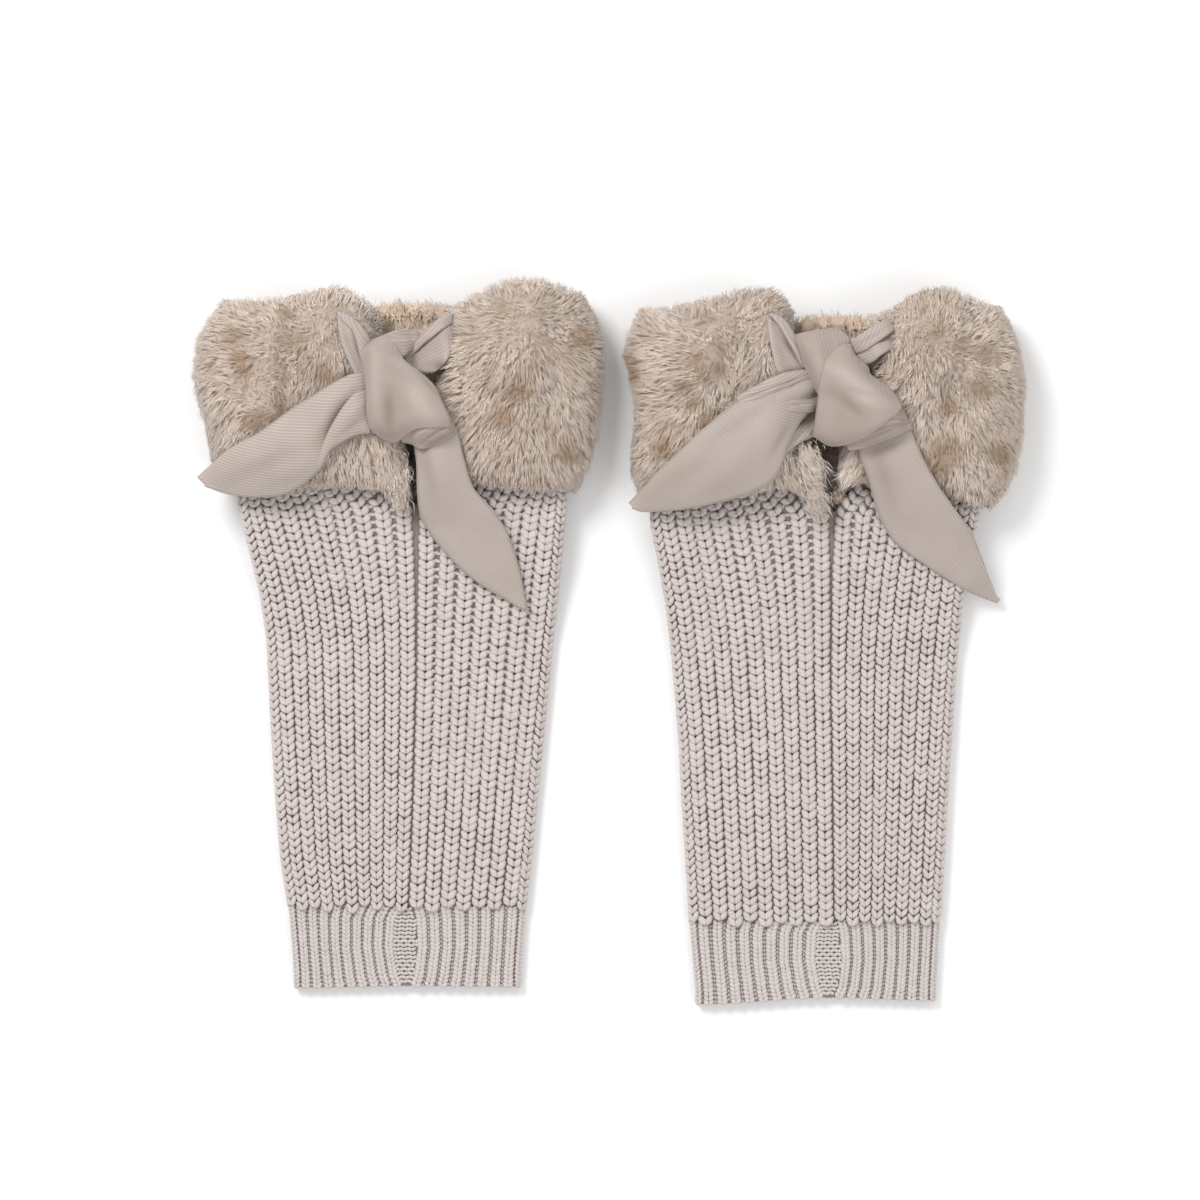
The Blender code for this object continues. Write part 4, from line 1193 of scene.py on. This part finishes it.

# %% [markdown]
# A lock is darker and warmer at its root than at its tip, and tufts differ a little from each other.
# The tan undercoat shows in the thin spots, and the deep spots and the lining are painted nearly black
# as shade. The longest tufts are paler and greyer. The high fills are too, partly in their own colour
# and partly as painted light that lifts them out of their own shade, and the rims are painted paler as
# rim light. The inside of the cuff is painted a lighter caramel: partly its own colour, partly painted
# light against the shade that the flaps cast. All of that comes from the values stored on the mesh.

# %% Fur finish
def fur_finish():
    finish = Finish("cuff fur", 0.9, sheen=0.15, softness=0.35)
    tip, tone, thin, deep, grey, warm = (
        finish.attribute(name) for name in ("tip", "tone", "thin", "deep", "pale", "warm"))
    patches = finish.noise(45, 3.0).between(0.35, 0.68)
    root = finish.blend(tone, (0.49, 0.395, 0.32), (0.58, 0.48, 0.40))
    pale = finish.blend(tone * 0.45 + patches * 0.55, (0.47, 0.385, 0.325), (0.655, 0.57, 0.505))
    tan = finish.blend(tone, (0.27, 0.18, 0.12), (0.42, 0.305, 0.22))
    # The grey blend is partly the tone of long tufts and fills and partly painted light at the rims and
    # on the fills.
    top = finish.blend(grey * 0.5, finish.blend(thin * 0.95, pale, tan), (0.66, 0.62, 0.58))
    lit = finish.blend((tip + tone * 0.15).between(0.0, 0.8), finish.blend(thin * 0.6, root, tan), top)
    # Painted shade: the deep spots and the lining blend to nearly black.
    sunk = finish.blend(deep * 0.85, lit, (0.11, 0.075, 0.055))
    # Painted light, partly the caramel colour of the inside: these spots blend towards a light caramel.
    return finish.paint(finish.blend(warm * 0.8, sunk, (0.76, 0.60, 0.47)))


def backing_finish():
    finish = Finish("fur backing cloth", 0.95)
    return finish.paint(finish.blend(finish.noise(300), (0.48, 0.385, 0.31), (0.56, 0.46, 0.38)))


CUFF_FUR, FUR_BACKING = fur_finish(), backing_finish()
coat(furs.values(), CUFF_FUR)
coat(backings.values(), FUR_BACKING)
print("fur triangles:", triangles(furs.values()))

# %% [markdown]
# Each ribbon comes out of the fur, wraps into a knot and leaves it in two tails, and it is folded and
# gathered all the way. So it is made of strands, each a stretch of cloth between two folds. A span says
# where a strand's two edges are, how far it lies above the solid there, and how much its middle bulges
# (or, minus, sags). The broad fronts of the knots are drawn with pins instead, three or four across.
# Creases are added along lines. Ribs are the fine lines of the weave: their pitch, slope in degrees,
# bend, and how much they stand out. In the tables, each strand has its ribs first, then its spans or
# pins.

# %% The shape of a strand
Span = namedtuple("Span", "a_across a_up b_across b_up lift bow")
Pin = namedtuple("Pin", "across up lift")
Crease = namedtuple("Crease", "from_across from_up to_across to_up height width")
Ribs = namedtuple("Ribs", "pitch slope bend strength")
Strand = namedtuple("Strand", "ribs rows creases")


def strand(ribs, *rows, creases=()):
    """A strand from its ribs, its spans or rows of pins, and the creases in it."""
    rows = [Span(*row) if np.isscalar(row[0]) else table(Pin, *row) for row in rows]
    return Strand(Ribs(*ribs), rows, table(Crease, *creases))


def stretch_of(name):
    """The stretch of ribbon that a strand belongs to, which its name begins with."""
    return "knot" if name.startswith("knot") else "_".join(name.split("_")[:2])


# %% Strands of the left bow
LEFT_BOW = dict(
    band_left=strand(
        (1.3, -45, 0, 0.8),
        (-32.2, 323.5, -30.2, 324, -2.5, 0), (-31.4, 316.8, -26.6, 317.6, 0, -0.8),
        (-30, 309.6, -22.8, 311.4, 0, -1.7), (-27.1, 302.4, -20.4, 304.6, 0, -1.7),
        (-24.2, 296.2, -18.2, 297.8, -0.3, -1), (-21, 290.5, -17.6, 291, -1, -0.5),
        creases=[(-24, 314, -20, 300, -1.5, 1.6)],
    ),
    band_left_fold=strand(
        (1.3, -55, 0, 1),
        (-32.6, 324.8, -29.5, 324, -2.5, 0.3), (-28.5, 319.7, -25, 321.4, 1, 0.5),
        (-24.9, 316, -20.6, 317, 1.5, 0.7), (-23, 311, -17.8, 312.8, 1.5, 0.7),
        (-21.2, 304.3, -16.6, 307.4, 1, 0.5), (-19.4, 297.8, -15.8, 300.5, -0.4, 0),
    ),
    band_right=strand(
        (1.3, 32, 0.006, 0.8),
        (-1.5, 303.9, 1.7, 298.2, -0.5, 0), (4.1, 307.2, 6, 296.4, 0, -0.9),
        (8.9, 310.6, 10.8, 295.8, 0, -1.9), (13.7, 313.9, 15.1, 297, 0.2, -2.6),
        (18, 317.5, 19.2, 300.8, 0.2, -2.4), (22.6, 319.5, 22.8, 306, -3, -1),
        creases=[
            (8, 300, 20, 306, 0.6, 1.4), (12, 299, 20, 298, -1.6, 2.4), (0, 304, 8, 311, -1.3, 1.6),
        ],
    ),
    band_right_fold=strand(
        (1.3, 48, 0, 1),
        (-1.2, 304.6, -0.5, 302.6, 0, 0), (3.1, 309.5, 4.2, 305.4, 1.2, 0.4),
        (7.2, 314.4, 8.8, 309.7, 1.9, 0.5), (12.3, 319.1, 13.4, 313.2, 1.9, 0.5),
        (16.8, 322.2, 18, 316.7, 1.5, 0.5), (22.5, 324.9, 22.8, 319.8, -3, 0.2),
    ),
    tail_left=strand(
        (1.45, -1, 0.0045, 1),
        (-17.2, 296.4, -16.8, 288, -0.6, 0.2), (-24.2, 295.2, -23.3, 284.5, 0.3, 0.6),
        (-30.5, 292.6, -29.5, 277, 0.4, 0.6), (-36.4, 289.4, -33.8, 267.8, 0.3, 0.7),
        (-44.9, 284.1, -37.2, 255.4, 0.3, 0.9), (-53.5, 279.1, -43.9, 247, 0.3, 1),
        (-69.8, 267.1, -55.9, 238.8, 0.3, 1), (-82.8, 260.4, -69.3, 236.9, 0.3, 0.7),
        (-93.8, 251.4, -83.7, 238.2, 0.2, 0.4), (-99.8, 246, -96, 242.2, 0, 0),
        creases=[
            (-25, 286, -41, 261, -1.9, 3.6), (-44, 279, -72, 257, 0.5, 5), (-44, 252, -62, 246, 0.7, 3),
            (-48, 262, -88, 243, -0.6, 4), (-24, 291, -44, 276, 0.5, 2.4),
        ],
    ),
    tail_left_fold=strand(
        (1.45, -3, 0.025, 1),
        (-16.6, 288, -17, 267.2, -0.2, 0.6), (-22.8, 286.3, -22.8, 266.4, 1.3, 0.9),
        (-27.6, 281.5, -28.3, 264, 1.9, 0.6), (-32.9, 273.3, -33.6, 261.1, 1.9, 0.3),
        (-37.2, 265.2, -37, 257.8, 1.7, 0.1), (-39.9, 258.2, -39.9, 252.5, 1.1, 0),
        (-42, 251.8, -42.4, 248.6, 0.2, 0),
        creases=[(-18, 276, -32, 265, -0.7, 1.8), (-18, 283, -30, 272, 0.6, 1.8)],
    ),
    tail_right=strand(
        (1.3, -55, -0.005, 0.9),
        (5.5, 272, 20, 277, -1.5, 0.2), (4.2, 262.5, 25, 266.5, -0.2, 0.5),
        (5.4, 252.5, 27.6, 255.5, 0.3, 0.8), (5.6, 240, 32, 241.5, 0.3, 1),
        (6.8, 229, 39.2, 233, 0.3, 1.1), (12.2, 218.4, 47, 222.5, 0.3, 1),
        (23.3, 205.4, 51.6, 211, 0.3, 0.8), (35.3, 195.4, 55, 197.8, 0.3, 0.5),
        (49.5, 187, 57.2, 184.6, 0.1, 0.1), (57, 183.2, 59, 182.4, 0, 0),
        creases=[
            (8, 262, 14, 234, -0.6, 3.5), (16, 264, 27, 238, 0.7, 4.5), (24, 224, 46, 198, 0.6, 6),
            (9, 228, 30, 204, 0.5, 3.5), (7, 259, 23, 262, -0.5, 1.2),
        ],
    ),
    knot=strand(
        (1.15, -68, 0, 0.45),
        ((-17.5, 309.6, -1.5), (-14.1, 311.5, -1), (-10.8, 313, -1), (-7.4, 312, -1.5)),
        ((-20.9, 305.8, -0.5), (-15.1, 306.7, 0.8), (-9.3, 307.7, 1), (-4.1, 307.2, -0.3)),
        ((-19.9, 299, -0.5), (-13.2, 299.5, 1), (-6.5, 300, 1), (-0.2, 301, -0.6)),
        ((-18.9, 292.8, -0.5), (-10.8, 293.3, 0.8), (-2.1, 294.2, 0.9), (7.5, 295.2, 0)),
        ((-18, 285.6, -0.5), (-8.4, 286.1, 0.3), (2.7, 287.5, 1.2), (14.2, 289, 0.3)),
        ((-18, 277.9, -0.5), (-7.4, 277.4, -0.2), (4.6, 278.9, 1), (18, 280.8, 0.2)),
        ((-17, 271.2, -0.6), (-6.5, 268.8, 0.4), (4.1, 273.1, 0.8), (21.4, 273.6, 0)),
        ((-15.6, 267.8, -2.2), (-5.5, 262.6, -1.8), (5.1, 268.8, -1), (21.9, 269.8, -1.2)),
        creases=[
            (-7.4, 287, -7, 267, -1.1, 2.8), (-15, 306, -14, 271, 0.5, 2.5),
            (7.5, 294, 16.5, 284, -0.9, 1.3), (0, 292, 13, 273, 0.8, 4.5), (-9, 303, 4, 296, 0.5, 2.2),
            (2, 300, 9, 294.5, -0.5, 1.3),
        ],
    ),
    knot_loop=strand(
        (1.3, -14, 0, 1),
        ((-18.5, 310.8, -3), (-16.6, 308.6, -2), (-14.6, 306.2, -2)),
        ((-8.4, 315, -3), (-7.7, 310.5, -0.9), (-6.9, 306.2, -2)),
        ((-1.7, 316.9, -2.6), (-2.7, 311, -0.4), (-4.1, 304.8, -2.2)),
        ((5.1, 316.4, -2.2), (2.7, 310.2, -0.4), (-1.2, 303, -2.6)),
        ((7.6, 315, -2.2), (5.6, 310.6, -1.6), (2.7, 306.4, -3.5)),
        creases=[(-6, 311, 5, 312, 0.5, 1.2)],
    ),
    knot_under=strand(
        (1.2, 12, 0, 0.6),
        (-3, 269, -1.6, 262.6, -2.4, 0), (3.2, 272.5, 2.8, 261.6, -1.9, 0.3),
        (8, 274, 7.4, 259.4, -1.6, 0.5), (14.5, 273.5, 14.6, 261, -1.6, 0.5),
        (20.5, 273, 21.4, 264, -1.6, 0.3), (23.5, 271.5, 24.2, 266.2, -2.2, 0),
        creases=[
            (7, 262, 21, 271, -0.9, 0.8), (10, 260.5, 23, 267.5, -0.8, 0.8),
            (4, 265, 14, 270.5, 0.6, 0.9),
        ],
    ),
)

# %% Strands of the right bow
RIGHT_BOW = dict(
    band_left=strand(
        (1.3, -35, 0, 0.6),
        (-23.9, 329, -20.5, 328.2, -2.5, 0), (-23.3, 320.2, -16, 321.8, 0, -1.3),
        (-21.8, 311.5, -10.6, 313.4, 0, -2.2), (-19.4, 302.9, -6.3, 305.4, -0.2, -1.8),
        (-13, 297.6, -3.8, 300, -1, -0.6),
        creases=[(-18, 322, -7, 306, -1.6, 1.8)],
    ),
    band_left_fold=strand(
        (1.3, -60, 0, 0.8),
        (-23.4, 331.2, -18.8, 330.2, -2.5, 0.2), (-20.4, 328.2, -14.8, 325.8, 1.2, 0.6),
        (-16.6, 322.3, -11, 319.6, 1.7, 0.7), (-11.5, 313.4, -7.2, 310.8, 1.4, 0.5),
        (-7.2, 305.6, -4.4, 303.4, 0.4, 0),
    ),
    band_right=strand(
        (1.3, 32, 0, 0.8),
        (16.5, 311.2, 21.4, 306.4, -0.4, 0.2), (22.5, 313.4, 25.8, 308, 0.6, 0.4),
        (27.3, 316.7, 30.2, 311.4, 0.8, 0.4), (34.8, 320.6, 37.4, 316, -4, 0.1),
    ),
    band_right_fold=strand(
        (1.3, 62, 0, 1),
        (14, 318.1, 17.4, 311.6, 0, 0.2), (19.2, 321.1, 22.7, 313.6, 1.4, 0.6),
        (24.4, 324.5, 28.7, 317.7, 1.7, 0.7), (29.7, 327.4, 34.2, 321.8, 1.2, 0.5),
        (34, 329.8, 38, 324.6, -4.5, 0.1),
        creases=[(18, 316, 33, 325, -0.6, 0.8)],
    ),
    tail_left=strand(
        (1.3, -24, -0.004, 0.8),
        (0.8, 302.8, 0, 285.5, -1.2, 0), (-9, 302.2, -6.8, 282.6, 0, 0.3),
        (-21, 298.2, -14.4, 269.3, 0.3, 0.8), (-37.9, 289.8, -20.4, 254, 0.3, 1.1),
        (-53.8, 277.2, -31.2, 246.4, 0.3, 1.1), (-66.7, 265.2, -49, 241.2, 0.3, 0.9),
        (-77.8, 254.6, -65.8, 238.2, 0.2, 0.6), (-88, 243, -82.5, 237.4, 0, 0.1),
        (-90.2, 240.8, -88.6, 239, 0, 0),
        creases=[
            (-16, 284, -42, 262, 0.7, 3.5), (-22, 290, -54, 268, -0.5, 3), (-26, 268, -56, 248, 0.6, 4),
            (-50, 266, -80, 243, -0.5, 5), (-14, 279, -24, 262, -0.9, 1.8),
        ],
    ),
    tail_left_pleats=strand(
        (1.3, 20, 0, 1),
        (-2, 304.6, -2, 299.2, 0, 0.2), (-13.5, 303.2, -12, 296.4, 1.2, 0.5),
        (-21.6, 300.7, -19.7, 294, 1.2, 0.5), (-28.8, 296.9, -27.4, 290.2, 1, 0.4),
        (-39, 291.3, -37.1, 284.6, 0.2, 0.2),
        creases=[(-4, 302.8, -38, 289.6, -0.8, 0.6), (-4, 300.8, -37, 287.2, -0.8, 0.6)],
    ),
    tail_left_roll=strand(
        (1.3, 20, 0, 0.4),
        (-0.5, 300.9, 1.8, 293.4, 0.2, 0.8), (-8.4, 298.7, -5.6, 290.5, 1.4, 1.5),
        (-14, 295.4, -13.2, 289.5, 1.2, 1), (-20.5, 291.8, -20, 288.4, 0.1, 0.2),
        creases=[(-7, 291.6, 2, 294.5, -1.6, 1.4)],
    ),
    tail_left_gather=strand(
        (1.3, -15, 0.02, 0.8),
        (2, 291.8, 0.6, 285.8, 0, 0.8), (-5.3, 290.4, -4.8, 284.6, 1.4, 1.2),
        (-11, 291.2, -11.5, 284.4, 1.4, 0.8), (-18, 290, -17, 283.6, 0.1, 0.2),
        creases=[(-2, 289, -17, 287, -0.6, 0.7)],
    ),
    tail_left_back=strand(
        (1.3, 40, 0, 1),
        (1.5, 285.2, -0.8, 273.6, -2.2, -0.2), (-5.3, 281, -7.6, 270.8, -2, -0.5),
        (-10, 276.4, -12.8, 267.4, -2, -0.4), (-15, 270, -17.4, 263.6, -2, -0.2),
        creases=[(0, 278, -14, 268, 0.9, 1.1), (1, 283, -11, 277, -1.6, 1.6)],
    ),
    tail_right=strand(
        (1.3, -70, 0, 0.8),
        (20, 272, 40, 280, -1.5, 0.2), (19.6, 264.5, 44.4, 273.6, 0, 0.5),
        (23.4, 255.5, 49.6, 262.5, 0.3, 0.8), (26.4, 245.2, 56.8, 250, 0.3, 1),
        (30.2, 233.6, 65, 238.8, 0.3, 1), (38, 222, 73.3, 227.6, 0.3, 0.9),
        (54.2, 210.2, 77.9, 217.6, 0.3, 0.7), (70.6, 200.4, 82.4, 206.2, 0.2, 0.4),
        (83, 195.2, 86.2, 197.2, 0, 0.1), (87.4, 193.6, 88.4, 194.4, 0, 0),
        creases=[
            (27, 268, 36, 240, -0.6, 3.5), (38, 272, 54, 244, 0.7, 4.5), (46, 232, 74, 208, 0.6, 6),
            (34, 232, 58, 212, 0.5, 3), (20, 263, 43, 271, -1.2, 2.6),
        ],
    ),
    knot=strand(
        (1.15, -60, 0, 0.45),
        ((7.6, 313.4, -0.8), (9.6, 315.4, -0.8), (12, 316.3, -0.8), (14.8, 316.8, -1)),
        ((3.8, 309.1, 0.4), (8.1, 310.1, 1), (12.4, 311, 0.8), (17.2, 311, -0.6)),
        ((1.9, 303.4, 0.6), (8.1, 304.3, 1.3), (14.8, 305.3, 1), (23, 305.8, -0.6)),
        ((0.4, 296.6, 0.4), (9.1, 297.6, 1), (17.7, 298.6, 1), (24.9, 301.4, -0.4)),
        ((0, 290.4, 0), (10, 290.4, 0.4), (21.6, 291.8, 1.2), (34, 294.7, -0.3)),
        ((-1, 282.7, -0.3), (10, 281.3, 0.8), (22, 284.2, 1.1), (39.3, 287.5, -0.2)),
        ((-2, 276, -0.6), (7.6, 272.2, 0.4), (21.6, 276, 0.7), (37.9, 284.6, 0.2)),
        ((-2.4, 273.1, -2), (7.2, 268.3, -2), (21.1, 271.7, -0.8), (37.4, 284.2, -0.4)),
        creases=[
            (4, 306, 30, 289, 0.9, 4), (8, 293, 22, 281, -0.9, 2.6), (14, 296, 26, 291, -0.6, 1.8),
            (1, 300, 1, 279, 0.6, 2), (18, 290, 36, 286, 0.7, 2.2),
        ],
    ),
    knot_strap=strand(
        (1.2, -64, 0, 0.7),
        ((-12, 321, -1.8), (-1.5, 323.2, -1.2), (9.1, 325, -2)),
        ((-9.6, 315.4, -0.5), (1.4, 318.2, 0.3), (14.8, 318.2, -1.8)),
        ((-6.3, 305.8, -0.5), (0.4, 309.6, 0.1), (8.1, 311.5, -1.2)),
        ((-2.6, 298.1, -0.7), (0, 301.4, -0.3), (3.5, 303.8, -1.2)),
        ((0.6, 292.3, -1.6), (1.4, 293.8, -1.6), (1.9, 295.2, -1.6)),
        creases=[(-2, 320, 1.5, 304, 0.3, 2)],
    ),
    knot_fan=strand(
        (1.2, 24, 0, 0.7),
        (12, 271, 14.4, 265.8, -2, 0), (19, 273.8, 21.5, 266.8, -1.4, 0.3),
        (26, 279, 29.6, 269.6, -1.2, 0.5), (32.4, 284.6, 37.3, 272.6, -1.2, 0.5),
        (38.6, 288.2, 44.8, 276.2, -1.4, 0.2),
        creases=[
            (43, 279.6, 24, 274.6, -0.8, 0.8), (43, 278.8, 20, 270, -0.8, 0.8),
            (43, 280.6, 32, 280.4, -0.7, 0.7),
        ],
    ),
)
BOWS = {"left": LEFT_BOW, "right": RIGHT_BOW}
print("strands:", {name: len(bow) for name, bow in BOWS.items()})

# %% [markdown]
# A strand starts as a grid. Its points are pulled onto a smooth net through the table's rows, and their
# heights come from rays that fall on the solid of that stretch. Both edges roll down a little, as a
# folded edge does, which also closes the gap to the strand below. Solidify gives the cloth its
# thickness.

# %% Ribbon strands
RIBBON_WALL = 0.7
EDGE_ROLL, EDGE_SHARPNESS = 1.1, 8
SOFT_PASSES = 8
CREASE_END, CREASE_TAPER = 0.25, 0.05
RIB_SHIFT = 0.35
HOLLOW_DEPTH = 1.6
KNOT_SHADE = 0.4
STRAND_GRID = {"knot": (34, 44), "band": (16, 36), "tail": (20, 60)}


def pins_of(row):
    """A row of the table as numbers: one place and lift per pin, from one edge to the other."""
    if isinstance(row, Span):
        middle = ((row.a_across + row.b_across) / 2, (row.a_up + row.b_up) / 2, row.lift + row.bow)
        return [(row.a_across, row.a_up, row.lift), middle, (row.b_across, row.b_up, row.lift)]
    return [tuple(pin) for pin in row]


def smooth_through(values, shares):
    """Values on a smooth curve through given ones, at shares of its length from 0 to 1."""
    at = np.clip(shares, 0, 1) * (len(values) - 1)
    i = np.minimum(at.astype(int), len(values) - 2)
    t = (at - i).reshape(-1, *[1] * (values.ndim - 1))
    slopes = np.gradient(values, axis=0)
    return ((2 * t**3 - 3 * t**2 + 1) * values[i] + (t**3 - 2 * t**2 + t) * slopes[i]
            + (3 * t**2 - 2 * t**3) * values[i + 1] + (t**3 - t**2) * slopes[i + 1])


def net_through(rows, columns, lines):
    """A fine net of across, up and lift through the table's rows: lines by columns points."""
    pins = np.array([pins_of(row) for row in rows], float)
    along = smooth_through(pins, np.linspace(0, 1, lines))
    return smooth_through(along.transpose(1, 0, 2), np.linspace(0, 1, columns)).transpose(1, 0, 2)


def crease_height(creases, x, y):
    """The sum of soft ridges and troughs that run along straight lines."""
    total = np.zeros_like(x)
    for crease in creases:
        start = np.array([crease.from_across, crease.from_up])
        run = np.array([crease.to_across, crease.to_up]) - start
        share = ((x - start[0]) * run[0] + (y - start[1]) * run[1]) / (run @ run)
        inside = np.clip(share, 0, 1)
        off = np.hypot(x - start[0] - inside * run[0], y - start[1] - inside * run[1])
        middle = np.sin(math.pi * np.clip(inside, CREASE_TAPER, 1 - CREASE_TAPER))
        fade = CREASE_END + (1 - CREASE_END) * middle
        total += crease.height * fade * np.exp(-((off / crease.width) ** 2))
    return total


def heights_on(tree, x, y):
    """The top of a solid at each place, or at the nearest place that a ray finds."""
    down = Vector((0, 0, -1))
    hits = [tree.ray_cast(Vector((px, py, FAR)), down)[0] for px, py in zip(x, y)]
    found = np.array([hit.z if hit else np.nan for hit in hits])
    known = np.where(~np.isnan(found))[0]
    for i in np.where(np.isnan(found))[0]:
        found[i] = found[known[np.argmin((x[known] - x[i]) ** 2 + (y[known] - y[i]) ** 2)]]
    return found


def soften(grid, passes):
    """Averages a grid of heights with their neighbours."""
    for _ in range(passes):
        padded = np.pad(grid, 1, mode="edge")
        grid = (padded[:-2, 1:-1] + padded[2:, 1:-1] + padded[1:-1, :-2] + padded[1:-1, 2:]
                + 2 * padded[1:-1, 1:-1]) / 6
    return grid


def rib_count(ribs, x, y, z):
    """How many ribs of the weave lie before each place. They shift a little where the cloth rises."""
    turn = math.radians(ribs.slope)
    x, y = x - x.mean(), y - y.mean()
    along, across = x * math.cos(turn) + y * math.sin(turn), y * math.cos(turn) - x * math.sin(turn)
    return (across - ribs.bend * along**2 / 2 + RIB_SHIFT * (z - z.mean())) / ribs.pitch


def ribbon_strand(leg, name, plan):
    columns, lines = STRAND_GRID[name[:4]]
    grid, across, along = new_grid(f"{leg.name}_ribbon_cloth_{name}", columns - 1, lines - 1)
    net = net_through(plan.rows, columns, lines)
    tree = trees[f"{leg.name}_ribbon_{stretch_of(name)}"]
    x, y = net[..., 0].ravel(), net[..., 1].ravel()
    top = heights_on(tree, x + leg.place[0], y + leg.place[1]).reshape(lines, columns)
    from_middle = np.abs(np.linspace(-1, 1, columns))[None, :]
    z = soften(top, SOFT_PASSES) + net[..., 2] - EDGE_ROLL * from_middle**EDGE_SHARPNESS
    relief = crease_height(plan.creases, x, y)
    z = z.ravel() + relief
    line, place = np.rint(along * (lines - 1)).astype(int), np.rint(across * (columns - 1)).astype(int)
    order = line * columns + place
    set_points(grid, in_frame(leg, x, y, z)[order])
    # Painted shade: the knots and the troughs of the creases are stored as darker cloth.
    hollow = np.clip(KNOT_SHADE * (stretch_of(name) == "knot") - relief[order] / HOLLOW_DEPTH, 0, 1)
    store(grid.data, "hollow", hollow)
    corners = np.empty(len(grid.data.loops), int)
    grid.data.loops.foreach_get("vertex_index", corners)
    count = rib_count(plan.ribs, x, y, z)[order][corners]
    uv = np.stack([count, np.full(len(corners), plan.ribs.strength)], -1)
    grid.data.uv_layers[0].data.foreach_set("uv", uv.ravel())
    cloth_areas[grid.name] = sum(face.area for face in grid.data.polygons)
    thicken(grid, RIBBON_WALL)
    grid.data.shade_smooth()
    return grid


cloth_areas = {}
ribbons = {(leg.name, name): ribbon_strand(leg, name, plan)
           for leg in LEGS for name, plan in BOWS[leg.name].items()}
print("ribbon triangles:", triangles(ribbons.values()))

# %% [markdown]
# The ribbon is a soft twill: fine ribs run across it at a slant. They are too fine to model, so a sine
# of the UV map draws them, in height and a little in colour. The first number of the map counts the
# ribs, and the second says how much they stand out. Shade is painted into the cloth: it is darker in
# the knots and in the troughs of the folds, which another attribute holds.

# %% Ribbon finish
def twill():
    finish = Finish("ribbon twill", 0.55, sheen=0.15)
    uv = finish.node("ShaderNodeUVMap")
    count = finish.node("ShaderNodeSeparateXYZ", "X", Vector=uv)
    strength = Shade(finish.tree, count.socket.node.outputs["Y"])
    wander = finish.noise(60, 1.0) * 0.35
    ribs = ((count + wander) * (2 * math.pi)).sin() * strength
    cloudy = finish.noise(45, 3.0)
    finish.bump(ribs, 0.00015, 0.5)
    plain = finish.blend(cloudy * 0.5 + ribs * 0.3 + 0.22, (0.345, 0.285, 0.25), (0.50, 0.43, 0.388))
    # Painted shade: the folds and knots blend towards a dark brown.
    return finish.paint(finish.blend(finish.attribute("hollow") * 0.75, plain, (0.235, 0.175, 0.14)))


TWILL = twill()
coat(ribbons.values(), TWILL)
print("ribbon strands:", len(ribbons))

# %% [markdown]
# Last, each piece and the pieces that go with it are hung on one root empty, and the solids that they
# stand for are hidden. A few lengths and widths of the cloth are worked out, but nothing keeps them.


def strand_length(rows):
    """The length of a strand down its middle, in metres."""
    pins = np.array([pins_of(row) for row in rows], float)
    middles = (pins[:, 0, :2] + pins[:, -1, :2]) / 2
    return np.linalg.norm(np.diff(middles, axis=0), axis=1).sum() * MM


def declare(piece, extras):
    for obj in (piece, *extras):
        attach(obj, "root")


for leg in LEGS:
    name = leg.name
    hem, knit, backing = grounds[name, "hem"], grounds[name, "knit"], backings[name]
    furs_here = [furs[name, side] for side in FUR_SIDES]
    declare(hem, stitches[name, "hem"])
    declare(knit, stitches[name, "knit"])
    declare(backing, furs_here)
    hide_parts(f"{name}_hem_rib")
    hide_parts(f"{name}_knit_body")
    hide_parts(f"{name}_fur_cuff")
    (leg.notch_foot + KNIT_ABOVE_SLIT - HEM_TOP) * MM
    bow = BOWS[name]
    for stretch in [key for key in bow if key == stretch_of(key)]:
        cloth = ribbons[name, stretch]
        folds = [ribbons[name, key] for key in bow if stretch_of(key) == stretch and key != stretch]
        declare(cloth, folds)
        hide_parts(f"{name}_ribbon_{stretch}")
        length = strand_length(bow[stretch].rows)
        width = cloth_areas[cloth.name] / length
        width * length

shown = [obj for obj in bpy.data.objects if obj.type == "MESH" and not obj.hide_render]
print("triangles in all:", triangles(shown))
